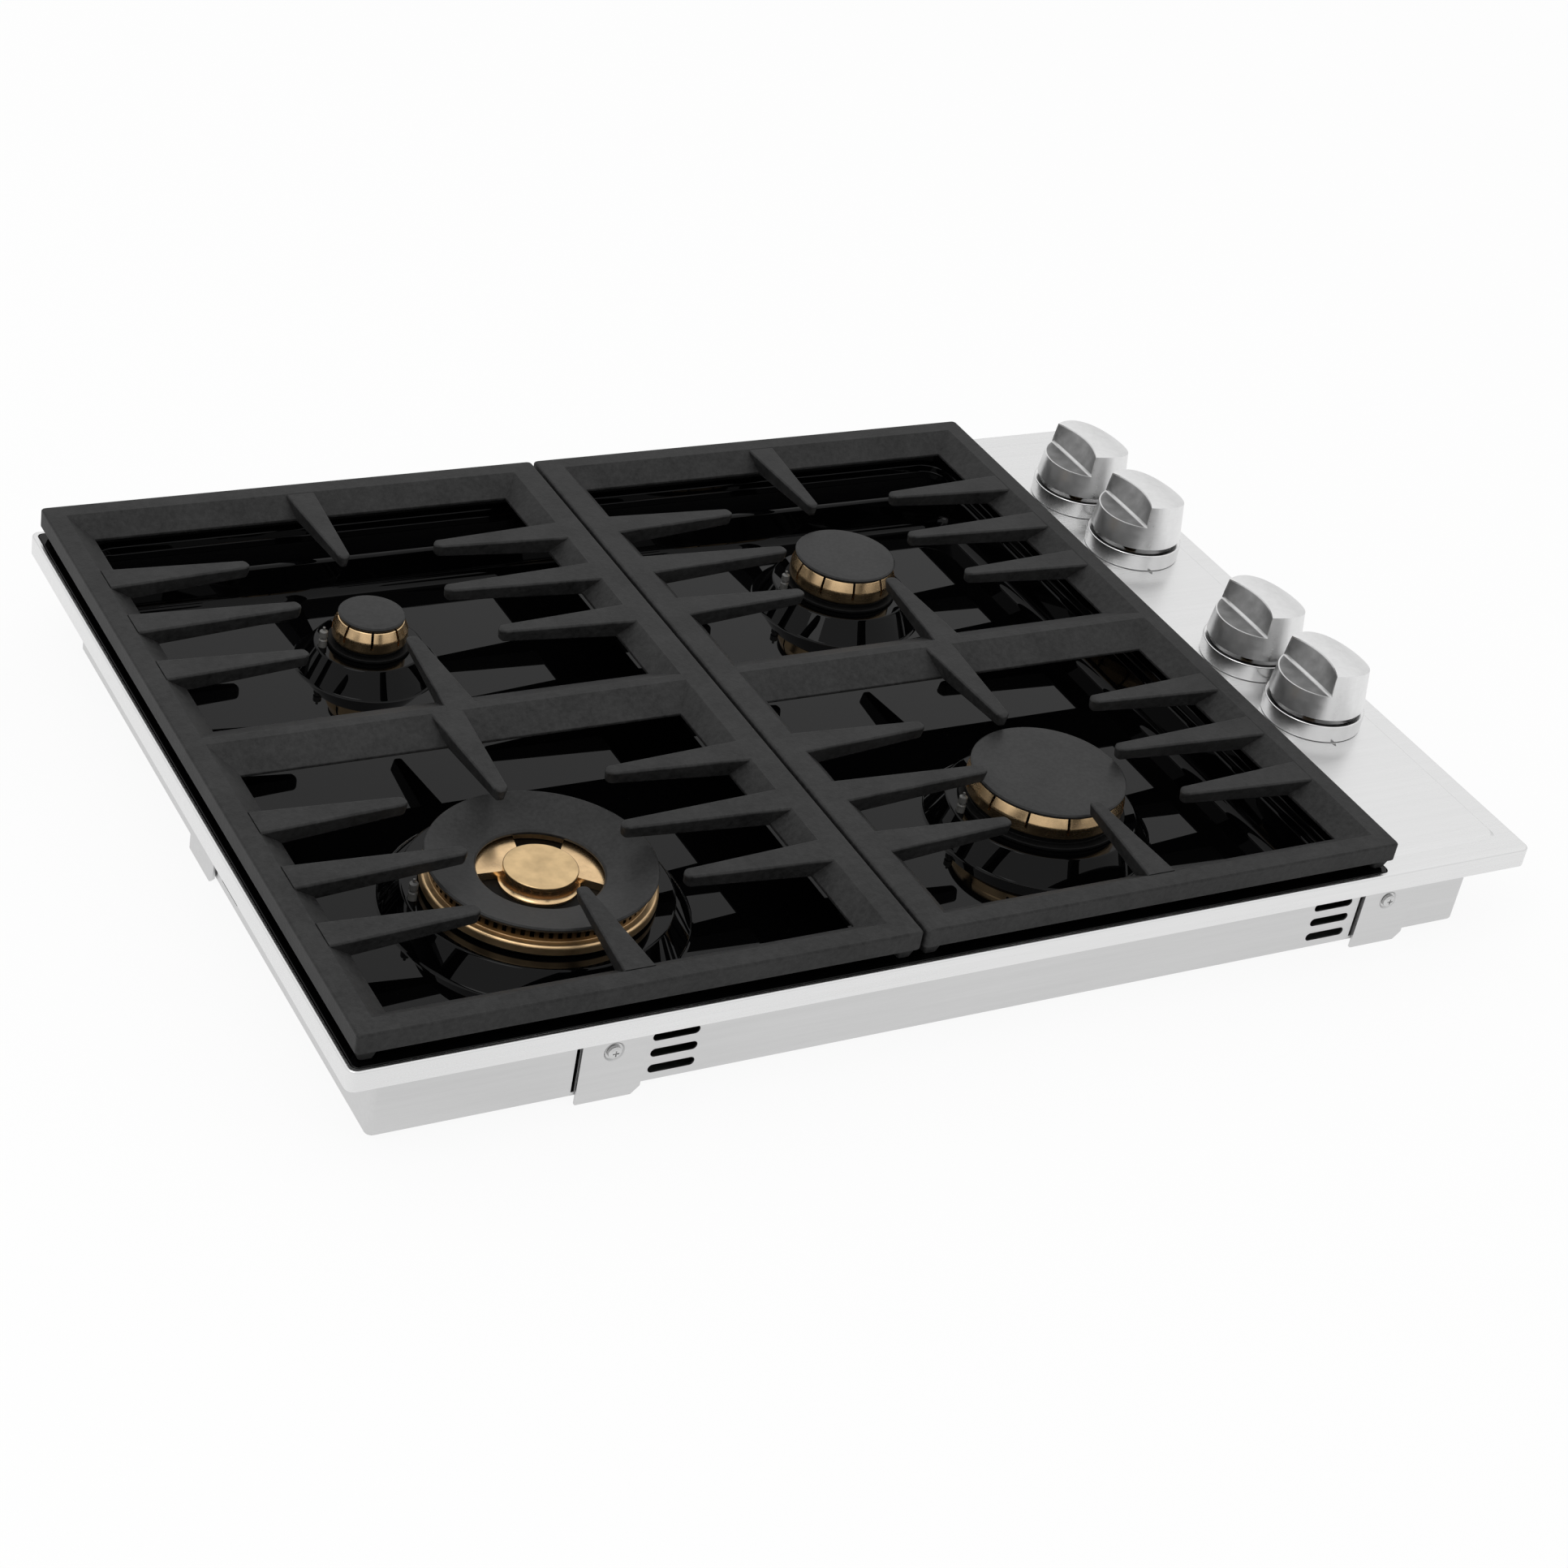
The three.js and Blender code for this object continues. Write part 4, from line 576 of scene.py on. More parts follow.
def cast_iron(finish, colours):
    """Matte enamel over a sand casting"""
    grain = finish.noise(1100, detail=3.0, rough=0.6)
    pit = finish.noise(300, detail=4.0, rough=0.65)
    cloud = finish.noise(40, detail=4.0, rough=0.6)
    tone = (grain * 0.2 + pit * 0.5 + cloud * 0.3).between(0.36, 0.64)
    finish.surface(
        Base_Color=finish.blend(tone, shade(colours.grate, 0.45), shade(colours.grate, 1.75)),
        Roughness=grain * 0.2 + pit * 0.2 + 0.36,
        Specular_IOR_Level=0.22,
        Normal=finish.bump(grain * 0.3 + pit * 0.7, 0.0003, 0.8),
    )


def cap_enamel(finish, colours):
    """Fine satin enamel of the burner caps"""
    grain = finish.noise(1800)
    cloud = finish.noise(34, detail=3.0)
    fleck = finish.noise(420, detail=3.0)
    tone = (grain * 0.2 + cloud * 0.4 + fleck * 0.4).between(0.34, 0.66)
    finish.surface(
        Base_Color=finish.blend(tone, shade(colours.cap, 0.62), shade(colours.cap, 1.38)),
        Roughness=grain * 0.08 + cloud * 0.1 + 0.28,
        Specular_IOR_Level=0.16,
        Normal=finish.bump(grain, 0.00003, 0.4),
    )


def turned_brass(finish, colours, rough=0.17, colour=None, painted_cap_shade=None):
    """Machined brass, a little darker where heat has tinted it; the mask given last marks where painted
    shade, a dark brown, falls under a cap
    """
    colour = colour or colours.brass
    lathe = finish.noise(1500, (0.02, 0.02, 1), 2.0)
    tint = finish.noise(90, detail=3.0)
    warm = finish.blend(tint.between(0.35, 0.7), shade(colour, 1.12), shade(colour, 0.82))
    # painted shade under a cap, where the mask is given
    if painted_cap_shade is not None:
        warm = finish.blend(painted_cap_shade, warm, shade(colour, 0.16))
    finish.surface(
        Base_Color=warm,
        Metallic=1.0,
        Roughness=lathe * 0.06 + tint * 0.12 + rough,
        Normal=finish.bump(lathe, 0.00001, 0.3),
    )


def ring_brass(finish, colours):
    """Brass of the ring head, with painted shade, a dark brown, on its wall between its ledge and the cap
    that overhangs it
    """
    level = finish.node("ShaderNodeSeparateXYZ", {}, {0: finish.place()}, output="Z")
    ledge = WORKTOP_CORNER[2] + (BURNERS["front_left"]["seat"] + RING_LEDGE + 0.1) * MM
    # painted shade from just above the ledge up to the cap
    turned_brass(finish, colours, 0.3, painted_cap_shade=(level - ledge).between(0.0, 0.0004))


def satin_brass(finish, colours):
    """Paler brass of the inner cap, its top faced on a lathe"""
    turned_brass(finish, colours, 0.24, colours.inner_cap)


def dull_brass(finish, colours):
    """Brass of the valve stems at a quarter of the heads' brightness, and rougher"""
    turned_brass(finish, colours, 0.4, shade(colours.brass, 0.25))


def ceramic(finish, colours):
    """Glazed insulator with a few soot marks"""
    soot = finish.noise(300, (1, 1, 0.5), 3.0).between(0.45, 0.7)
    grain = finish.noise(1900, detail=1.0)
    finish.surface(
        Base_Color=finish.blend(soot * 0.45, colours.ceramic, shade(colours.ceramic, 0.35)),
        Roughness=grain * 0.08 + soot * 0.3 + 0.2,
        Normal=finish.bump(grain, 0.00004, 0.3),
    )


def burner_casting(finish, colours):
    """Near-black casting under the burners; its dark colour is partly its own coat and partly painted
    shade, for the shade that the heads cast on it
    """
    grain = finish.noise(1100, detail=3.0, rough=0.6)
    cloud = finish.noise(40)
    tone = (grain * 0.6 + cloud * 0.4).between(0.3, 0.7)
    finish.surface(
        Base_Color=finish.blend(tone, shade(colours.porcelain, 0.9), shade(colours.grate, 0.5)),
        Roughness=grain * 0.2 + 0.42,
        Specular_IOR_Level=0.1,
        Normal=finish.bump(grain, 0.00015, 0.6),
    )


def aluminium(finish, colours):
    """Drawn tube and die casting"""
    grain = finish.noise(900, detail=3.0)
    cloud = finish.noise(30)
    finish.surface(
        Base_Color=finish.blend(cloud, shade(colours.box_steel, 0.8), shade(colours.box_steel, 0.98)),
        Metallic=1.0,
        Roughness=grain * 0.2 + 0.3,
        Normal=finish.bump(grain, 0.00006, 0.5),
    )


def black_plastic(finish, colours):
    """Moulded housing with a spark-eroded skin"""
    skin_grain = finish.noise(1500)
    finish.surface(
        Base_Color=finish.blend(skin_grain, shade(colours.cap, 0.4), shade(colours.cap, 0.7)),
        Roughness=skin_grain * 0.2 + 0.45,
        Normal=finish.bump(skin_grain, 0.00008, 0.5),
    )


def seal_foam(finish, colours):
    """Open foam of the worktop seal"""
    cell = finish.noise(1400, detail=4.0, rough=0.7)
    finish.surface(
        Base_Color=finish.blend(cell.between(0.35, 0.65), shade(colours.cap, 0.25),
                                shade(colours.cap, 0.7)),
        Roughness=cell * 0.1 + 0.85,
        Normal=finish.bump(cell, 0.0004, 0.9),
    )


def mark_paint(finish, colours):
    """Dark paint of the pointer marks on the control strip"""
    grain = finish.noise(2000)
    finish.surface(
        Base_Color=finish.blend(grain, shade(colours.cap, 6), shade(colours.cap, 9)),
        Roughness=grain * 0.1 + 0.5,
    )


def floor_paint(finish, colours):
    """White studio floor that the camera, metal and gloss see as plain white, with its shadow kept"""
    seen = finish.node("ShaderNodeLightPath", output="Is Camera Ray")
    path = finish.tree.nodes[-1].outputs
    seen = (seen + Level(finish, path["Is Glossy Ray"]) + Level(finish, path["Is Transmission Ray"]))
    grain = finish.noise(3)
    paper = finish.node("ShaderNodeBsdfDiffuse", {}, {
        "Color": finish.blend(grain, (0.8, 0.8, 0.8, 1), (0.84, 0.84, 0.84, 1))})
    glow = finish.node("ShaderNodeEmission", {}, {"Color": (1, 1, 1, 1), "Strength": 1.0})
    mixed = finish.node("ShaderNodeMixShader", {}, {
        0: seen.between(0, 1, 0, 0.9), 1: paper, 2: glow})
    finish.node("ShaderNodeOutputMaterial", {}, {"Surface": mixed})


def material(name):
    """The material of a finish, made the first time that it is asked for; its title keeps it apart
    from the solids' own plain materials, some of which bear the same name"""
    title = f"{name}_finish"
    known = bpy.data.materials.get(title)
    if known:
        return known
    made = bpy.data.materials.new(title)
    FINISHES[name](Finish(made), bpy.context.scene.cooktop_colours)
    return made


FINISHES = {
    recipe.__name__: recipe for recipe in (
        brushed_steel, pressed_steel, spun_steel, knob_steel, porcelain, cast_iron, cap_enamel,
        turned_brass, ring_brass, satin_brass, dull_brass, ceramic, burner_casting, aluminium,
        black_plastic, seal_foam, mark_paint, floor_paint,
    )
}


# ---- settings -----------------------------------------------------------------------------

def length(name, description, default):
    """Length setting, given in millimetres"""
    return FloatProperty(name=name, description=description, default=default * MM, min=0,
                         unit="LENGTH", precision=4)


def colour(name, description, default):
    """Colour setting, in linear light"""
    return FloatVectorProperty(name=name, description=description, default=(*default, 1.0), size=4,
                               min=0, max=1, subtype="COLOR")


class CooktopSizes(bpy.types.PropertyGroup):
    lip_round: length("Lip rounding", "Radius along the top of the flange", 1.5)
    field_soft: length("Field corner", "Corner radius of the raised field of the strip", 6)
    pan_step: length("Pan rim rounding", "Radius of the rolled edge of the pan", 3)
    pan_foot: length("Pan floor rounding", "Radius where the pan's walls meet its floor", 8)
    boss_flare: length("Boss foot rounding", "Radius at the foot of the burner bosses", 2.5)
    box_edge: length("Box edge", "Radius along the bottom of the burner box", 1.5)
    grate_edge: length("Grate edge", "Radius along the ridges of the grates", 1.2)
    cap_edge: length("Cap edge", "Radius along the top of the burner caps", 0.9)
    knob_edge: length("Knob edge", "Rounding of the edges of a knob", 0.55)
    bezel_edge: length("Bezel edge", "Rounding of the top of a bezel ring", 0.8)
    ring_port: length("Ring port", "Width of a port of the dual burner's ring", 2.4)
    ring_ports: IntProperty(name="Ring ports", description="Ports round the dual burner's ring",
                            default=76, min=12)
    lens: FloatProperty(name="Lens", description="Focal length on a 36 mm sensor", default=71.68,
                        unit="CAMERA")


class CooktopColours(bpy.types.PropertyGroup):
    steel: colour("Steel", "Brushed steel of the flange", (0.765, 0.765, 0.765))
    knob: colour("Knob", "Spun steel of knobs and bezels", (0.76, 0.76, 0.76))
    box_steel: colour("Box steel", "Pressed steel of the box and its brackets", (0.62, 0.62, 0.62))
    porcelain: colour("Porcelain", "Enamel of the pan", (0.0008, 0.0008, 0.0009))
    grate: colour("Grate", "Enamel of the grates", (0.015, 0.015, 0.015))
    cap: colour("Cap", "Enamel of the burner caps", (0.021, 0.021, 0.021))
    brass: colour("Brass", "Burner heads", (0.74, 0.52, 0.29))
    inner_cap: colour("Inner cap", "Cap of the small flame in the dual burner", (0.63, 0.45, 0.24))
    ceramic: colour("Ceramic", "Igniters", (0.12, 0.118, 0.112))


def mm(setting):
    """A length setting in millimetres"""
    return getattr(bpy.context.scene.cooktop_sizes, setting) / MM


# ---- pieces -------------------------------------------------------------------------------

class Piece:
    """What the operators of the cooktop have in common"""
    bl_options = {"REGISTER", "UNDO"}


def strip_field(drop, margin):
    """Raised field of the control strip, with a soft step round it"""
    corner = mm("field_soft")
    loops = [outline(STRIP_FIELD, corner - margin, DECK_TOP + SHEET, 8, (margin,) * 4)]
    for step in range(9):
        share = step / 8
        rise = share * share * (3 - 2 * share)
        inset = margin + STRIP_SLOPE * share
        loops.append(outline(STRIP_FIELD, corner - inset / 2,
                             LIP_HEIGHT - drop + (STRIP_TOP - LIP_HEIGHT) * rise, 8, (inset,) * 4))
    return skin(loops)


class COOKTOP_OT_top_frame(Piece, bpy.types.Operator):
    """Flange with its folded lip and the raised control strip"""
    bl_idname = "cooktop.top_frame"
    bl_label = "Top frame"

    def execute(self, context):
        edge = soft([(0, 0), (0, LIP_HEIGHT, mm("lip_round")), (LIP_WIDTH, LIP_HEIGHT)], 5)
        outside = skin([outline(FLANGE, FRAME_CORNER - min(inset, 2), level, 8, (inset,) * 4)
                        for inset, level, _ in edge])
        under = skin([outline(FLANGE, FRAME_CORNER, level, 8, (SHEET,) * 4)
                      for level in (-1, DECK_BOTTOM)])
        pan_area = (LIP_WIDTH, LIP_WIDTH, STRIP_LEFT, DEPTH - LIP_WIDTH)
        pan_room = skin([outline(pan_area, 4, level, 8, (-grow,) * 4) for grow, level in (
            (0, DECK_TOP), (0, LIP_HEIGHT - 0.5), (0.15, LIP_HEIGHT - 0.15), (0.5, LIP_HEIGHT),
            (0.6, LIP_HEIGHT + 1))])
        strip_room = prism((STRIP_LEFT + SHEET, SHEET + 1.5, WIDTH - SHEET - 1.5,
                            DEPTH - SHEET - 1.5), 0, DECK_TOP, LIP_HEIGHT - SHEET)
        window = prism((VALVE_WINDOW[0], APERTURE[1], VALVE_WINDOW[1], APERTURE[3]), 0, 0, DECK_TOP + 1)
        opening = prism(APERTURE, 20, 0, DECK_TOP + 1)
        holes = [rod(STEM_HOLE, DECK_TOP, STRIP_TOP + 1, (KNOB_X, y)) for y in KNOB_Y]
        mesh = worked(outside, *cut(under, pan_room, strip_room), *join(strip_field(0, 0)),
                      *cut(strip_field(SHEET, SHEET), opening, window, *holes))
        finished("steel_frame", mesh, "brushed_steel", "cooktop", ["top_frame"])
        mark = drawn([(MARK_START, -1.3), (MARK_END, -0.3), (MARK_END, 0.3), (MARK_START, 1.3)],
                     STRIP_TOP - 0.02, STRIP_TOP + 0.12)
        marks = [mesh_of(shift(swung(mark, MARK_TURN), KNOB_X, y)) for y in KNOB_Y]
        finished("pointer_marks", joined(*marks), "mark_paint", "cooktop")
        return {"FINISHED"}


def pan_loops(profile, radii, steps=10):
    """Loops of the pan from the profiles of its four sides"""
    loops = []
    for points in zip(*profile):
        radius = radii[points[0][2]]
        loops.append(outline(PAN, radius, points[0][1], steps, tuple(point[0] for point in points)))
    return loops


def boss(burner, inside):
    """Round platform under a burner, flared into the floor; inside gives its hollow"""
    top = burner["flange"] + BOSS_MARGIN
    if inside:
        return turned([(top + 10.4, FLOOR - 3), (top + 9.4, FLOOR - SHEET),
                       (top - 1.2, BOSS_TOP - SHEET)],
                      (burner["x"], burner["y"]), sides=96)
    profile = soft([(top + 22, FLOOR - 0.7), (top + 22, FLOOR - 0.03),
                    (top + 11, FLOOR, mm("boss_flare")), (top, BOSS_TOP, 1.8), (top - 8, BOSS_TOP)], 7)
    return turned(profile, (burner["x"], burner["y"]), sides=128)


def igniter_place(burner):
    """Middle of the igniter beside a burner"""
    reach, angle = burner["flange"] + IGNITER_OFFSET, math.radians(IGNITER_ANGLE)
    return burner["x"] + reach * math.cos(angle), burner["y"] + reach * math.sin(angle)


class COOKTOP_OT_spill_pan(Piece, bpy.types.Operator):
    """Gloss black pan with its stepped rim, its deep pool and four bosses"""
    bl_idname = "cooktop.spill_pan"
    bl_label = "Spill pan"

    def execute(self, context):
        rolled, foot = mm("pan_step"), mm("pan_foot")
        radii = [4, 4, 20, 16, 15, 20, 6]
        pool = (POOL[0] - PAN[0], POOL[1] - PAN[1], PAN[2] - POOL[2], PAN[3] - POOL[3])
        top, under = [], []
        for rim, edge in zip(PAN_RIM, pool):
            top.append(soft([(0, PAN_FOOT), (0, LIP_HEIGHT, 0.8), (rim, LIP_HEIGHT, rolled),
                             (rim + ROLL_RUN, ROLL_LEVEL, 1.6), (rim + LEDGE_RUN, LEDGE, 1.2),
                             (edge, LEDGE, 3),
                             (edge + POOL_SLOPE, FLOOR, foot), (edge + 30, FLOOR)], 5))
            under.append(soft([(SHEET, PAN_FOOT), (SHEET, LIP_HEIGHT - SHEET),
                               (rim - 1, LIP_HEIGHT - SHEET), (rim + 2.8, 10),
                               (rim + 3.8, LEDGE - SHEET), (edge - 1, LEDGE - SHEET),
                               (edge + POOL_SLOPE - 1, FLOOR - SHEET, foot),
                               (edge + 29, FLOOR - SHEET)], 5))
        outer = pan_loops(top, radii + [8])
        inner = pan_loops(under, radii + [8])
        pan = skin(list(reversed(inner)) + outer)
        steps = []
        for burner in BURNERS.values():
            steps += join(boss(burner, False)) + cut(boss(burner, True))
        for burner in BURNERS.values():
            steps += cut(rod(BURNER_HOLE, FLOOR - 2, 1, (burner["x"], burner["y"])),
                         rod(IGNITER_HOLE, FLOOR - 2, 1, igniter_place(burner)))
        dual = BURNERS["front_left"]
        steps += cut(rod(BURNER_HOLE, FLOOR - 2, 1, (dual["x"] + RING_FEED, dual["y"])))
        finished("enamel_pan", worked(pan, *steps), "porcelain", "cooktop",
                 ["spill_pan"], crease=38)
        return {"FINISHED"}


def louvres(left, low, high, axis):
    """Three slots with round ends, one under another"""
    slots = []
    for row in range(3):
        middle = LOUVRE_TOP - row * LOUVRE_PITCH
        half = LOUVRE_HEIGHT / 2
        slots.append(prism((left, middle - half, left + LOUVRE_LENGTH, middle + half), half - 0.01,
                           low, high, axis, 8))
    return slots


class COOKTOP_OT_burner_box(Piece, bpy.types.Operator):
    """Pressed box with its louvres and the slits beside the hold-downs"""
    bl_idname = "cooktop.burner_box"
    bl_label = "Burner box"

    def execute(self, context):
        edge = mm("box_edge")
        profile = soft([(8, BOX_BOTTOM), (0, BOX_BOTTOM, edge), (0, BOX_TOP, 0.6), (8, BOX_TOP)], 5)
        outside = skin([outline(BOX, BOX_CORNER, level, 8, (inset,) * 4) if inset < 3 else
                        outline(BOX, 1, level, 8, (inset,) * 4) for inset, level, _ in profile])
        inside = skin([outline(BOX, 3, level, 8, (SHEET,) * 4)
                       for level in (BOX_BOTTOM + SHEET, BOX_TOP - SHEET)])
        mouth = prism((BOX[0] + BOX_FLANGE, BOX[1] + BOX_FLANGE, BOX[2] - BOX_FLANGE,
                       BOX[3] - BOX_FLANGE), BOX_CORNER, BOX_TOP - SHEET - 1, BOX_TOP + 1)
        front = (BOX[1] - 2, BOX[1] + 3)
        side = (BOX[0] - 2, BOX[0] + 3)
        cuts = [slot for left in FRONT_LOUVRES for slot in louvres(left, *front, "y")]
        cuts += louvres(SIDE_BRACKET_BACK - BRACKET_WIDTH - 8 - LOUVRE_LENGTH, *side, "x")
        for left in FRONT_BRACKETS:
            start = left - SLIT_WIDTH - FIT
            cuts.append(prism((start, SLIT_LOW, start + SLIT_WIDTH, SLIT_HIGH), 0.4, *front, "y"))
        start = SIDE_BRACKET_BACK - BRACKET_WIDTH - SLIT_WIDTH - FIT
        cuts.append(prism((start, SLIT_LOW, start + SLIT_WIDTH, SLIT_HIGH), 0.4, *side, "x"))
        cuts.append(rod(INLET_HOLE, BOX[3] - 4, BOX[3] + 2, (KNOB_X, INLET_LEVEL), "y"))
        mesh = worked(outside, *cut(inside, mouth, *cuts))
        finished("pressed_box", mesh, "pressed_steel", "cooktop", ["burner_box"])
        return {"FINISHED"}


class COOKTOP_OT_hold_downs(Piece, bpy.types.Operator):
    """Six hold-down plates, each with its pan-head screw"""
    bl_idname = "cooktop.hold_downs"
    bl_label = "Hold-downs"

    def plate(self, left):
        """Mesh of the plate on the front wall whose left edge is given"""
        right, middle = left + BRACKET_WIDTH, left + BRACKET_WIDTH / 2
        drawing = soft([(left, BRACKET_LOW, 0.8), (right - BRACKET_CHAMFER, BRACKET_LOW, 0.8),
                        (right, BRACKET_LOW + BRACKET_CHAMFER, 0.8), (right, BRACKET_HIGH, 0.8),
                        (left, BRACKET_HIGH, 0.8)], 3, True)
        centre = (middle, SCREW_LEVEL)
        plate = drawn(drawing, BRACKET_FRONT, BRACKET_BACK, "y")
        dimple = turned([(6.2, BRACKET_FRONT - 1), (6.2, BRACKET_FRONT), (5.2, BRACKET_FRONT + 1.1)],
                        centre, "y", 48)
        head = turned(soft([(4, BRACKET_FRONT + 0.9), (4, BRACKET_FRONT - 0.9, 0.5),
                            (2.4, SCREW_FRONT, 1.0), (0.6, SCREW_FRONT)], 4), centre, "y", 48)
        cross = [prism((middle - a, SCREW_LEVEL - b, middle + a, SCREW_LEVEL + b), 0,
                       SCREW_FRONT - 1, SCREW_FRONT + 1, "y") for a, b in ((1.9, 0.4), (0.4, 1.9))]
        plate_mesh = eased(worked(plate, *cut(dimple)), 0.25)
        head_mesh = worked(head, *cut(*cross))
        return joined(plate_mesh, head_mesh)

    def execute(self, context):
        middle = Vector(((BOX[0] + BOX[2]) / 2, (BOX[1] + BOX[3]) / 2, 0))
        about = Matrix.Translation(middle)
        turn = lambda degrees: Matrix.Rotation(math.radians(degrees), 4, "Z") @ about.inverted()
        reach = (BOX[3] - BOX[1]) / 2
        side_y = SIDE_BRACKET_BACK - BRACKET_WIDTH / 2
        left, right = FRONT_BRACKETS
        centred = middle.x - BRACKET_WIDTH / 2
        plan = {
            "front_left": (left, Matrix.Identity(4)),
            "front_right": (right, Matrix.Identity(4)),
            "back_right": (left, about @ turn(180)),
            "back_left": (right, about @ turn(180)),
            "left": (centred, Matrix.Translation((BOX[0] + reach, side_y, 0)) @ turn(-90)),
            "right": (centred, Matrix.Translation((BOX[2] - reach, side_y, 0)) @ turn(90)),
        }
        for name, (start, matrix) in plan.items():
            mesh = self.plate(start)
            mesh.transform(matrix)
            finished(f"{name}_plate", mesh, "pressed_steel", "cooktop",
                     [f"{name}_hold_down"])
        return {"FINISHED"}


def grate_ring(left, right, left_bar, right_bar):
    """Outer bars of a grate, sloping in from a flat ridge to an upright lip"""
    edge = mm("grate_edge")
    section = soft([(0, GRATE_LOW, 0.8), (0, GRATE_TOP, 1.4), (BAR[0], GRATE_TOP, edge),
                    (BAR[1], GRATE_LOW + 2, 0.8), (BAR[1], GRATE_LOW, 0.8)], 4, True)

    def across(u, bar):
        """The same place on a bar with another ridge and width"""
        if u <= BAR[0]:
            return u * bar[0] / BAR[0]
        return bar[0] + (u - BAR[0]) * (bar[1] - bar[0]) / (BAR[1] - BAR[0])

    area = (left, GRATE_Y[0], right, GRATE_Y[1])
    loops = [outline(area, 2.4 if u < 6 else 0.4, level, 3,
                     (across(u, left_bar), u, across(u, right_bar), u)) for u, level, _ in section]
    return skin(loops, True)


def grate_web(left, right):
    """Bar across the middle of a grate, sloping both ways"""
    edge = mm("grate_edge")
    y, half = WEB_MIDDLE, WEB_HALF
    section = soft([(y - half, GRATE_LOW, 0.8), (y - half, GRATE_LOW + 2, 0.8),
                    (y - WEB_RIDGE, GRATE_TOP, edge), (y + WEB_RIDGE, GRATE_TOP, edge),
                    (y + half, GRATE_LOW + 2, 0.8), (y + half, GRATE_LOW, 0.8)], 4, True)
    return drawn(section, left + 5, right - 5, "x")


def finger(root, tip, root_width, tip_width):
    """Tapered finger with a round tip, its underside rising towards the tip"""
    edge = mm("grate_edge")
    run = Vector(tip) - Vector(root)
    nose = tip_width * 0.42
    stations = [(share * (run.length - nose), root_width + (tip_width - root_width) * share,
                 0, FINGER_RISE * share) for share in (0, 0.25, 0.5, 0.75, 1)]
    for step in range(1, 7):
        angle = math.pi / 2 * step / 6
        dip = 1 - math.cos(angle)
        stations.append((run.length - nose + nose * math.sin(angle),
                         max(tip_width * math.cos(angle), 1.6), 1.5 * dip, FINGER_RISE + 3.5 * dip))
    loops = []
    for along, width, dip, rise in stations:
        half, low = width / 2, max(width / 2 - 2, 0.5)
        section = soft([(-low, GRATE_LOW + rise, 1), (low, GRATE_LOW + rise, 1),
                        (half, GRATE_TOP - dip, edge), (-half, GRATE_TOP - dip, edge)], 4, True)
        loops.append([(along, u, v) for u, v, _ in section])
    angle = math.degrees(math.atan2(run.y, run.x))
    return shift(swung(skin(loops), angle), *root)


def cell_fingers(x0, x1, cell, burner, web_side):
    """The eight fingers round one burner; web_side is 1 where the web lies behind it"""
    x, y = burner["x"], burner["y"]
    fingers = []
    for row in (-1, 0, 1):
        level = y + row * FINGER_PITCH
        reach = SIDE_REACH if row else FINGER_REACH
        fingers.append(finger((x0 - ROOT_DEPTH, level), (x - reach, level), *FINGER))
        fingers.append(finger((x1 + ROOT_DEPTH, level), (x + reach, level), *FINGER))
    outer, web = cell[0] - ROOT_DEPTH, cell[1] + WEB_HALF
    if web_side < 0:
        outer, web = cell[1] + ROOT_DEPTH, cell[0] - WEB_HALF
    fingers.append(finger((x, outer), (x, y - web_side * FINGER_REACH), *THIN_FINGER))
    web_x = x - web_side * 5
    fingers.append(finger((web_x, web), (web_x, y + web_side * FINGER_REACH), *FINGER))
    return fingers


def grate_foot(x, y):
    """Short tapered foot under a corner of a grate"""
    square = lambda half, level: outline((x - half, y - half, x + half, y + half), 1.6, level, 4)
    return skin([square(3.2, LIP_HEIGHT + FIT), square(4, LIP_HEIGHT + FIT + 0.8),
                 square(6, GRATE_LOW + 1)])


class COOKTOP_OT_grates(Piece, bpy.types.Operator):
    """Two cast grates, each of one casting with its fingers and feet"""
    bl_idname = "cooktop.grates"
    bl_label = "Grates"

    def execute(self, context):
        plan = (("left", *GRATE_X[0], BAR, CENTRE_BAR, "front_left", "rear_left"),
                ("right", *GRATE_X[1], CENTRE_BAR, BAR, "front_right", "rear_right"))
        for name, left, right, left_bar, right_bar, front, rear in plan:
            x0, x1 = left + left_bar[1], right - right_bar[1]
            parts = [grate_web(left, right)]
            parts += cell_fingers(x0, x1, CELLS[0], BURNERS[front], 1)
            parts += cell_fingers(x0, x1, CELLS[1], BURNERS[rear], -1)
            parts += [grate_foot(x, y) for x in (left + GRATE_FOOT, right - GRATE_FOOT)
                      for y in (GRATE_Y[0] + GRATE_FOOT, GRATE_Y[1] - GRATE_FOOT)]
            mesh = worked(grate_ring(left, right, left_bar, right_bar), *join(*parts))
            finished(f"{name}_casting", mesh, "cast_iron", f"{name}_grate",
                     [f"{name}_grate"], crease=30)
        return {"FINISHED"}


def mixing_tube(x, y, angle):
    """Barrel, orifice holder and inlet nipple under a burner"""
    barrel = turned(soft([(11, FLOOR - 1.2), (11, BOSS_TOP + 1.3, 0.5), (8, BOSS_TOP + 1.3)], 3), (x, y))
    holder = turned(soft([(6, -33), (8, -33, 0.8), (9, -16.2), (7, -16.2)], 4), (x, y))
    nipple = swung(rod(5.2, 0, 14, (0, -23), "x"), angle)
    return barrel, holder, shift(nipple, x, y)


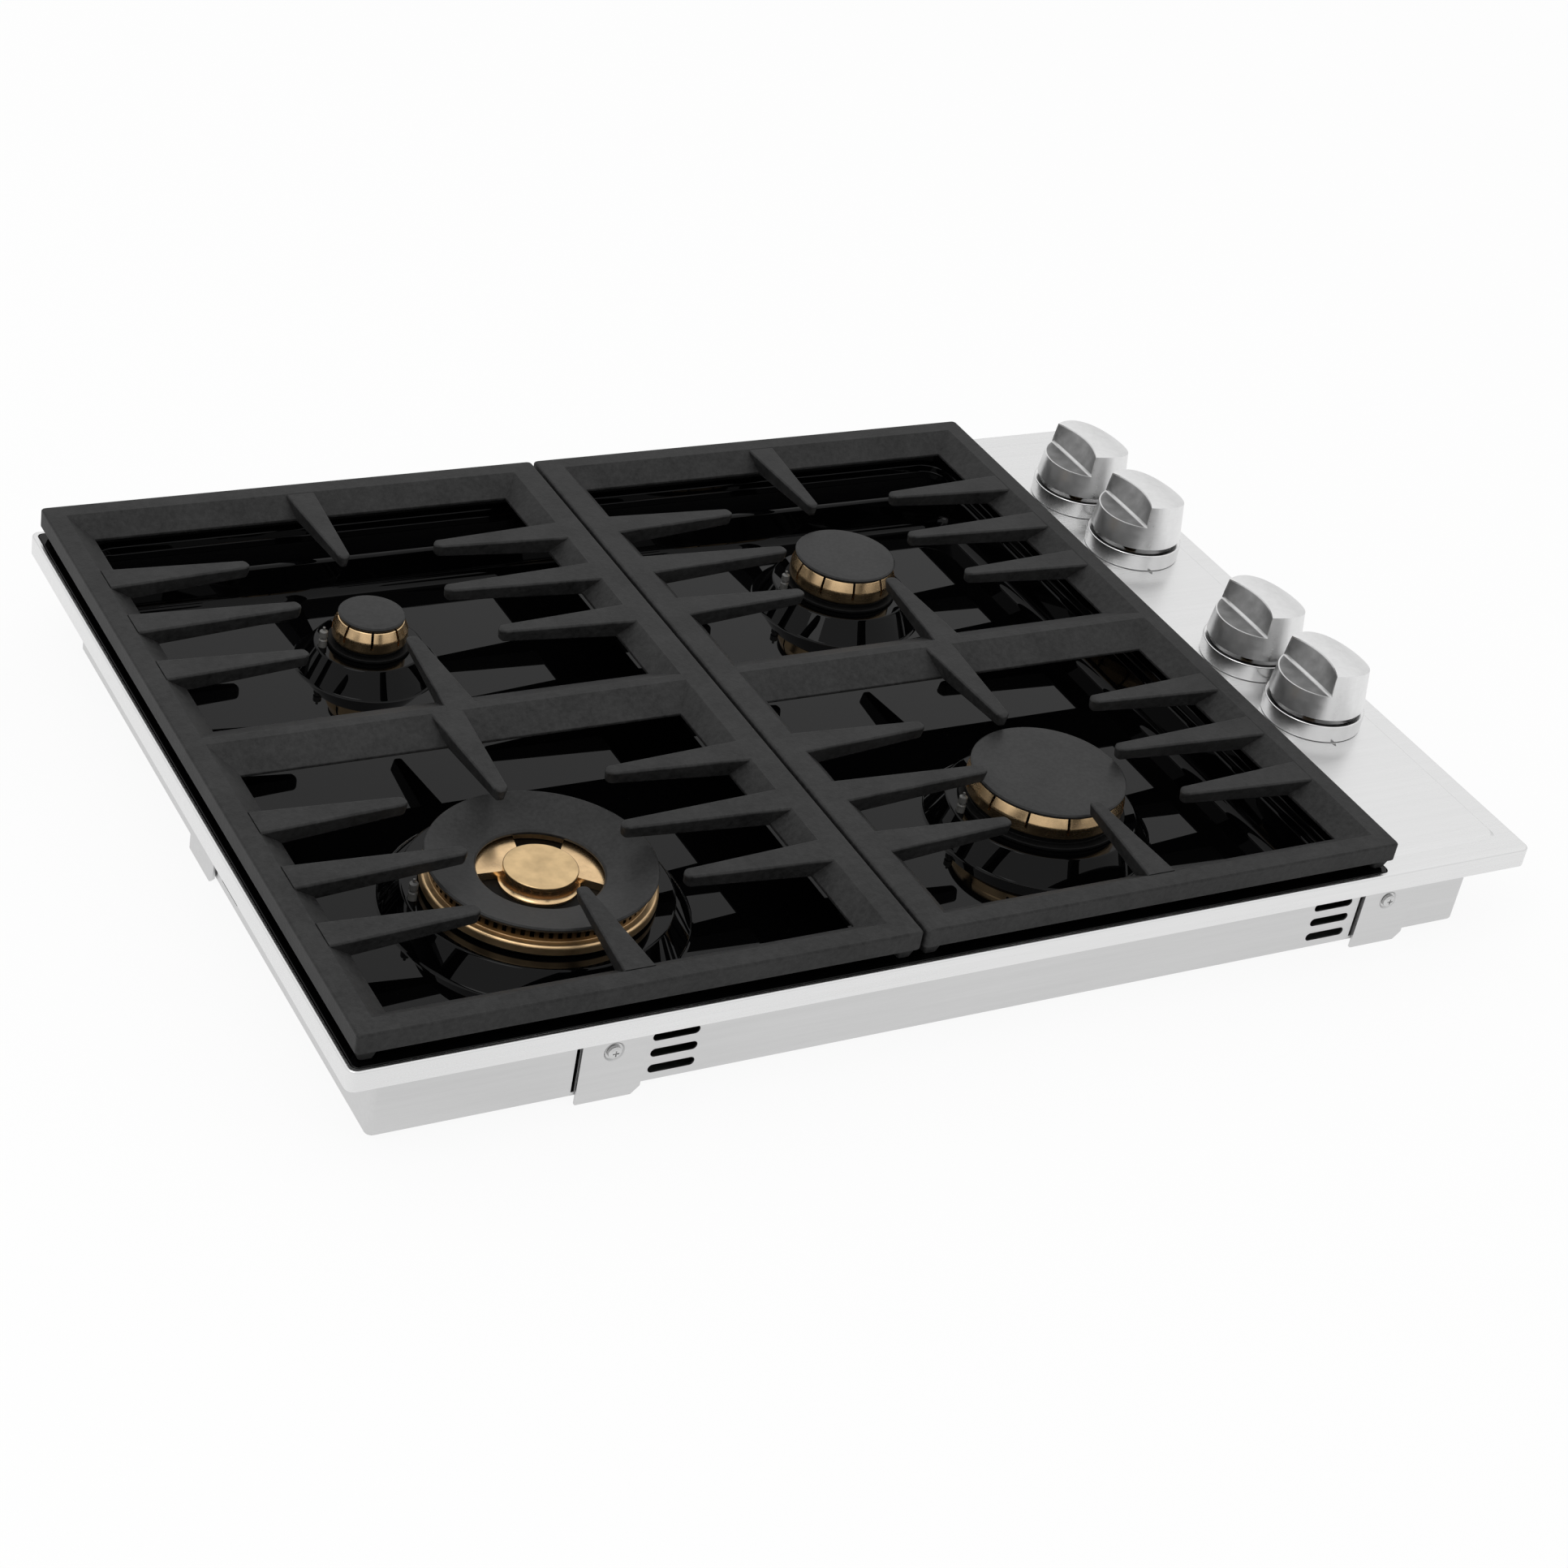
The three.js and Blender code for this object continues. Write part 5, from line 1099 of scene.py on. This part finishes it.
class COOKTOP_OT_burner_bases(Piece, bpy.types.Operator):
    """Castings that carry the brass heads, with their mixing tubes"""
    bl_idname = "cooktop.burner_bases"
    bl_label = "Burner bases"

    def execute(self, context):
        bottom = BOSS_TOP + FIT
        for name, burner in BURNERS.items():
            x, y, seat = burner["x"], burner["y"], burner["seat"] - FIT
            rim = burner["flange"] + (-1.5 if name == "front_left" else 2.5)
            if name == "front_left":
                feeds, throat_top = (0, RING_FEED), seat + 2.5
                plate = turned(soft([(rim - 1, bottom), (rim, bottom, 0.3), (rim, seat, 0.4),
                                     (rim - 4, seat)], 4), (x, y))
            else:
                feeds, throat_top = (0,), seat + 5
                neck = burner["flange"] - 3
                plate = turned(soft([(rim - 2, bottom), (rim, bottom, 0.4), (rim, bottom + 2, 0.8),
                                     (neck, bottom + 2, 0.6), (neck, seat), (neck - 4, seat)], 4), (x, y))
            parts = []
            for feed in feeds:
                parts += join(*mixing_tube(x + feed, y, burner["inlet"]),
                              rod(THROAT, bottom + 0.5, throat_top, (x + feed, y)))
                parts += cut(rod(THROAT_BORE, -27, throat_top + 1, (x + feed, y)))
            finished(f"{name}_base", worked(plate, *parts), "burner_casting", "cooktop",
                     [f"{name}_burner_base"])
        return {"FINISHED"}


def ports(count, centre, inner, outer, width, low, high, offset=0.0):
    """Slots through a round wall, as cuts"""
    slot = prism((inner, -width / 2, outer, width / 2), width * 0.3, low, high, steps=2)
    return cut(*(shift(swung(slot, offset + 360 * i / count), *centre) for i in range(count)))


class COOKTOP_OT_burner_heads(Piece, bpy.types.Operator):
    """Brass heads of the three single burners"""
    bl_idname = "cooktop.burner_heads"
    bl_label = "Burner heads"

    def execute(self, context):
        for name in SINGLES:
            burner = BURNERS[name]
            centre = (burner["x"], burner["y"])
            low, top = burner["seat"], burner["top"] - CAP_THICKNESS - FIT
            flange, wall = burner["flange"], burner["flange"] - HEAD_TAPER
            shoulder = (low + top) / 2 + 0.5
            profile = soft([(THROAT + FIT, low, 0.3), (flange - 0.5, low, 0.5), (flange, low + 1.4, 0.6),
                            (flange, shoulder, 4), (wall - 1.5, top, 0.8), (wall - HEAD_WALL, top, 0.3),
                            (wall - HEAD_WALL, low + 3, 0.8), (THROAT + FIT, low + 3, 0.3)], 6, True)
            cuts = ports(burner["ports"], centre, wall - 4.5, flange + 2, 1.6, low + 3.4, top + 1,
                         HEAD_TURN - 90 / burner["ports"])
            mesh = worked(turned(profile, centre, closed=True), *cuts)
            finished(f"{name}_brass", mesh, "turned_brass", f"{name}_head",
                     [f"{name}_burner_head"])
        return {"FINISHED"}


def sweep(first, last, steps=24):
    """Angles from one direction to another, which are given in degrees"""
    return [math.radians(first + (last - first) * i / steps) for i in range(steps + 1)]


def ring_dip(radius):
    """How far the dished ring cap has fallen, at a radius, on its way from the rim to the hole"""
    rim = BURNERS["front_left"]["cap"]
    return RING_FALL * (rim - radius) / (rim - RING_HOLE)


class COOKTOP_OT_burner_caps(Piece, bpy.types.Operator):
    """Enamelled caps of the single burners and the ring cap of the dual one"""
    bl_idname = "cooktop.burner_caps"
    bl_label = "Burner caps"

    def execute(self, context):
        edge = mm("cap_edge")
        for name in SINGLES:
            burner = BURNERS[name]
            top, low, rim = burner["top"], burner["top"] - CAP_THICKNESS, burner["cap"]
            spigot = burner["flange"] - HEAD_TAPER - HEAD_WALL - FIT
            profile = soft([(0.5, low), (spigot - 3, low), (spigot - 3, low - 3, 0.3),
                            (spigot, low - 3, 0.3), (spigot, low), (rim - 0.9, low, 0.4),
                            (rim, top - 0.9, 0.5),
                            (rim - 1.2, top - 0.12, edge), (rim - 6, top, 8), (0.5, top)], 5)
            finished(f"{name}_lid", mesh_of(turned(profile, (burner["x"], burner["y"]), sides=128)),
                     "cap_enamel", f"{name}_cap", [f"{name}_burner_cap"])
        dual = BURNERS["front_left"]
        top, low, rim = dual["top"], dual["top"] - CAP_THICKNESS, dual["cap"]
        under = lambda radius: low - ring_dip(radius)
        inner, outer, hole = RING_INSIDE + 3.3, RING_SPIGOT, RING_HOLE
        profile = soft([(hole + 0.6, under(hole), 0.4), (inner, under(inner)),
                        (inner, under(inner) - 3, 0.3), (outer, under(outer) - 3, 0.3),
                        (outer, under(outer)), (rim - 0.9, low, 0.4),
                        (rim, top - 0.9, 0.5), (rim - 1.2, top - 0.12, edge),
                        (hole + 1.2, top - ring_dip(hole + 1.2), edge),
                        (hole, top - ring_dip(hole) - 0.9, 0.5)], 5, True)
        ring = mesh_of(turned(profile, (dual["x"], dual["y"]), sides=160, closed=True))
        finished("front_left_ring_lid", ring, "cap_enamel", "front_left_ring_cap",
                 ["front_left_ring_cap"])
        return {"FINISHED"}


class COOKTOP_OT_dual_burner(Piece, bpy.types.Operator):
    """Brass ring head, and the small head and cap inside it"""
    bl_idname = "cooktop.dual_burner"
    bl_label = "Dual burner"

    def execute(self, context):
        dual = BURNERS["front_left"]
        centre = (dual["x"], dual["y"])
        low, top = dual["seat"], dual["top"] - CAP_THICKNESS - FIT
        wall, width = RING_WALL, mm("ring_port")
        count = context.scene.cooktop_sizes.ring_ports
        seat = lambda radius: top - ring_dip(radius)
        profile = soft([(RING_INSIDE, low, 0.3), (dual["flange"], low, 0.5),
                        (dual["flange"], low + RING_LEDGE - 0.2, 1.9),
                        (wall + 0.2, low + RING_LEDGE, 0.4),
                        (wall, seat(wall), 0.4), (wall - HEAD_WALL, seat(wall - HEAD_WALL), 0.3),
                        (wall - HEAD_WALL, low + 3, 1),
                        (RING_INSIDE + 3, low + 3, 1), (RING_INSIDE + 3, seat(RING_INSIDE), 0.3),
                        (RING_INSIDE, seat(RING_INSIDE), 0.4)], 4, True)
        cuts = ports(count, centre, wall - 4.5, wall + 3, width, low + RING_PORT_LOW, top + 1)
        feed = rod(THROAT + FIT, low - 1, low + 4, (dual["x"] + RING_FEED, dual["y"]))
        ring = worked(turned(profile, centre, sides=160, closed=True), *cut(feed), *cuts)
        finished("front_left_ring_brass", ring, "ring_brass", "front_left_ring_head",
                 ["front_left_ring_head"])

        cap_low = INNER_CAP_TOP - INNER_CAP_THICKNESS
        head_top = cap_low - FIT
        inside = INNER_HEAD - INNER_WALL
        neck = INNER_HEAD - INNER_NECK
        flare = [(INNER_STEP - (INNER_STEP - neck) * math.sin(a),
                  low + FLARE_FOOT + FLARE_RISE * (1 - math.cos(a)))
                 for a in (math.pi / 2 * i / 8 for i in range(9))]
        cup = [(THROAT + FIT, low), (INNER_STEP, low), *flare, (neck, head_top), (inside, head_top),
               (inside, low + 3), (THROAT + FIT, low + 3)]
        steps = []
        for start in WINGS:
            outer = sweep(start - WING_FLARE, start + WING_SPAN + WING_FLARE)
            inner = sweep(start + WING_WAIST, start + WING_SPAN - WING_WAIST)
            edge = [(r * math.cos(a), r * math.sin(a)) for r, angles in
                    ((RING_INSIDE - FIT, outer), (INNER_HEAD - 3, inner[::-1])) for a in angles]
            steps += join(shift(drawn(edge, low, WING_TOP), *centre))
        steps += ports(INNER_PORTS, centre, inside - 1, INNER_HEAD + 2, 1.2, head_top - 1,
                       head_top + 1, 7)
        head = eased(worked(turned(cup, centre, closed=True), *steps), 0.3)
        finished("front_left_inner_brass", head, "turned_brass", "front_left_inner_head",
                 ["front_left_inner_head"])
        spigot = inside - FIT
        profile = soft([(0.5, cap_low - 1.5), (spigot, cap_low - 1.5, 0.2), (spigot, cap_low),
                        (INNER_CAP, cap_low, 0.3), (INNER_CAP, INNER_CAP_TOP, 0.7),
                        (INNER_CAP - 3, INNER_CAP_TOP, 2), (0.5, INNER_CAP_TOP - 0.15)], 5)
        finished("front_left_inner_lid", mesh_of(turned(profile, centre)), "satin_brass",
                 "front_left_inner_cap", ["front_left_inner_cap"])
        return {"FINISHED"}


class COOKTOP_OT_igniters(Piece, bpy.types.Operator):
    """Ceramic igniters with their metal pins"""
    bl_idname = "cooktop.igniters"
    bl_label = "Igniters"

    def execute(self, context):
        for name, burner in BURNERS.items():
            profile = soft([(0.9, -14), (2.6, -14, 0.3), (2.6, 3.4, 0.2), (2.1, 4, 0.2),
                            (2.1, 5, 0.2), (2.6, 5.6, 0.2), (2.6, 9.2, 0.6), (0.85, 10, 0.3),
                            (0.8, 12, 0.3), (0.3, 12)], 4)
            body = mesh_of(turned(profile, igniter_place(burner), sides=32))
            finished(f"{name}_spark", body, "ceramic", "cooktop", [f"{name}_igniter"])
        return {"FINISHED"}


def scoop(y_centre):
    """Hollow that a finger fills: a level floor and a wall from a straight foot to a bowed top"""
    floor = KNOB_TOP - SCOOP_DEPTH
    loops = []
    for step in range(9):
        level = floor + (KNOB_TOP + 1 - floor) * step / 8
        share = (level - floor) / SCOOP_DEPTH
        edge = []
        for i in range(33):
            y = -40 + 80 * i / 32
            bow = -4 - 7.5 * min(abs(y) / 25, 1.35) ** 2
            edge.append((KNOB_X - SCOOP_FOOT + (bow + SCOOP_FOOT) * share, y_centre + y, level))
        loops.append(edge + [(KNOB_X - 70, y_centre + 40, level), (KNOB_X - 70, y_centre - 40, level)])
    return skin(loops)


def crown(y_centre):
    """What is cut from a knob to leave its top bowed, falling away to the right"""
    left = KNOB_X - CROWN_LEFT
    drawing = [(left + 40, KNOB_TOP + 2), (left - 10, KNOB_TOP + 2)]
    drawing += [(left + x, KNOB_TOP - x * x / (2 * CROWN)) for x in range(-10, 41, 2)]
    return drawn(drawing, y_centre - 34, y_centre + 34, "y")


def stamp_axis(piece, x, y, z):
    """Writes each point's place from the knob's axis, for turning lines that go round it"""
    axis = WORKTOP_CORNER + Vector((x, y, z)) * MM
    mark = piece.data.attributes.new("from_axis", "FLOAT_VECTOR", "POINT")
    for vertex in piece.data.vertices:
        mark.data[vertex.index].vector = vertex.co - axis


class COOKTOP_OT_knobs(Piece, bpy.types.Operator):
    """Four spun knobs, each with a scooped finger grip"""
    bl_idname = "cooktop.knobs"
    bl_label = "Knobs"

    def execute(self, context):
        for number, y in enumerate(KNOB_Y, 1):
            centre = (KNOB_X, y)
            outside = turned([(30, KNOB_BOTTOM), (KNOB_RADIUS, KNOB_BOTTOM + 0.6),
                              (KNOB_TOP_RADIUS, KNOB_TOP)], centre, sides=128)
            cavity = turned([(CAVITY, KNOB_BOTTOM - 1), (CAVITY_TOP, KNOB_BOTTOM + 12)], centre)
            hub = rod(HUB, KNOB_BOTTOM - 9, KNOB_BOTTOM + 13, centre)
            bore = rod(STEM_BORE, KNOB_BOTTOM - 10, KNOB_BOTTOM + 11, centre)
            mesh = worked(outside, *cut(cavity, crown(y), scoop(y)), *join(hub), *cut(bore))
            piece = finished(f"spun_knob_{number}", eased(mesh, mm("knob_edge"), 3, 30), "knob_steel",
                             f"control_{number}", [f"knob_{number}"])
            stamp_axis(piece, KNOB_X, y, KNOB_BOTTOM)
        return {"FINISHED"}


class COOKTOP_OT_bezels(Piece, bpy.types.Operator):
    """Steel rings that the knobs stand in"""
    bl_idname = "cooktop.bezels"
    bl_label = "Bezel rings"

    def execute(self, context):
        for number, y in enumerate(KNOB_Y, 1):
            profile = soft([(BEZEL_INSIDE, BEZEL_BOTTOM, 0.2), (BEZEL_OUTSIDE, BEZEL_BOTTOM, 0.3),
                            (BEZEL_OUTSIDE, BEZEL_TOP, mm("bezel_edge")),
                            (BEZEL_INSIDE, BEZEL_TOP, 0.5)], 4, True)
            ring = mesh_of(turned(profile, (KNOB_X, y), sides=128, closed=True))
            piece = finished(f"steel_ring_{number}", ring, "spun_steel", "cooktop",
                             [f"bezel_{number}"])
            stamp_axis(piece, KNOB_X, y, BEZEL_BOTTOM)
        return {"FINISHED"}


class COOKTOP_OT_gas_line(Piece, bpy.types.Operator):
    """Finishes of the valves, tubes, spark module and seal, which keep the shape of their solids"""
    bl_idname = "cooktop.gas_line"
    bl_label = "Gas line"

    def execute(self, context):
        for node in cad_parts:
            if node.startswith("gas_valve") or node.endswith("gas_tube") or node == "gas_manifold":
                dress(node, "aluminium")
            if node.startswith("valve_stem"):
                dress(node, "dull_brass")
            if node == "gas_inlet_union":
                dress(node, "turned_brass")
            if node.startswith("push_plate"):
                dress(node, "pressed_steel")
        dress("spark_module", "black_plastic")
        dress("counter_seal", "seal_foam")
        return {"FINISHED"}


# ---- stage --------------------------------------------------------------------------------

def area_lamp(name, place, size, watts):
    """Large soft lamp aimed at the middle of the cooktop"""
    lamp = bpy.data.lights.new(name, "AREA")
    lamp.shape = "DISK"
    lamp.size = size
    lamp.energy = watts
    holder = bpy.data.objects.new(name, lamp)
    bpy.context.scene.collection.objects.link(holder)
    holder.location = place
    holder.rotation_mode = "QUATERNION"
    holder.rotation_quaternion = (Vector((0, 0, 0.05)) - Vector(place)).to_track_quat("-Z", "Y")


class COOKTOP_OT_stage(Piece, bpy.types.Operator):
    """White floor and sky, one soft lamp and the camera"""
    bl_idname = "cooktop.stage"
    bl_label = "Stage"

    def execute(self, context):
        scene = context.scene
        floor = bpy.data.meshes.new("floor")
        far = FLOOR_REACH
        floor.from_pydata([(-far, -far, 0), (far, -far, 0), (far, far, 0), (-far, far, 0)], [],
                          [(0, 1, 2, 3)])
        floor.materials.append(material("floor_paint"))
        placed(floor, "floor")

        world = bpy.data.worlds.new("studio")
        scene.world = world
        sky = Finish(world)
        up = sky.node("ShaderNodeSeparateXYZ", {}, {
            0: sky.node("ShaderNodeTexCoord", output="Generated")}, output="Z")
        seen = sky.node("ShaderNodeLightPath", output="Is Camera Ray")
        level = up.between(0.0, 0.5, 0.68, 1.0)
        strength = seen * (1.0 - level) + level
        back = sky.node("ShaderNodeBackground", {}, {"Color": (1, 1, 1, 1), "Strength": strength})
        sky.node("ShaderNodeOutputWorld", {}, {"Surface": back})

        area_lamp("key", LAMP_PLACE, LAMP_SIZE, LAMP_WATTS)

        right, down, ahead = (Vector(axis) for axis in (CAMERA_RIGHT, CAMERA_DOWN, CAMERA_AHEAD))
        lens = bpy.data.cameras.new("camera")
        lens.lens = scene.cooktop_sizes.lens
        lens.sensor_width = 36
        lens.clip_end = 50
        camera = bpy.data.objects.new("camera", lens)
        scene.collection.objects.link(camera)
        turn = Matrix((right, -down, -ahead)).transposed().to_4x4()
        camera.matrix_world = Matrix.Translation(CAMERA_PLACE) @ turn
        scene.camera = camera
        scene.view_settings.view_transform = "Standard"
        return {"FINISHED"}


class COOKTOP_PT_pieces(bpy.types.Panel):
    """Lists the pieces of the cooktop"""
    bl_idname = "COOKTOP_PT_pieces"
    bl_label = "Gas cooktop"
    bl_space_type = "VIEW_3D"
    bl_region_type = "UI"
    bl_category = "Cooktop"

    def draw(self, context):
        layout = self.layout
        for operator in OPERATORS:
            layout.operator(operator.bl_idname)
        for group in (context.scene.cooktop_sizes, context.scene.cooktop_colours):
            box = layout.box()
            for setting in group.bl_rna.properties.keys():
                if setting not in ("name", "rna_type"):
                    box.prop(group, setting)


OPERATORS = (
    COOKTOP_OT_top_frame, COOKTOP_OT_spill_pan, COOKTOP_OT_burner_box, COOKTOP_OT_hold_downs,
    COOKTOP_OT_grates, COOKTOP_OT_burner_bases, COOKTOP_OT_burner_heads, COOKTOP_OT_burner_caps,
    COOKTOP_OT_dual_burner, COOKTOP_OT_igniters, COOKTOP_OT_knobs, COOKTOP_OT_bezels,
    COOKTOP_OT_gas_line, COOKTOP_OT_stage,
)
CLASSES = (CooktopSizes, CooktopColours, *OPERATORS, COOKTOP_PT_pieces)


def register():
    for kind in CLASSES:
        bpy.utils.register_class(kind)
    bpy.types.Scene.cooktop_sizes = PointerProperty(type=CooktopSizes)
    bpy.types.Scene.cooktop_colours = PointerProperty(type=CooktopColours)


def unregister():
    del bpy.types.Scene.cooktop_colours
    del bpy.types.Scene.cooktop_sizes
    for kind in reversed(CLASSES):
        bpy.utils.unregister_class(kind)


def main():
    """Makes every piece in order"""
    register()
    for operator in OPERATORS:
        getattr(bpy.ops.cooktop, operator.bl_idname.split(".")[1])()


if __name__ == "__main__":
    main()
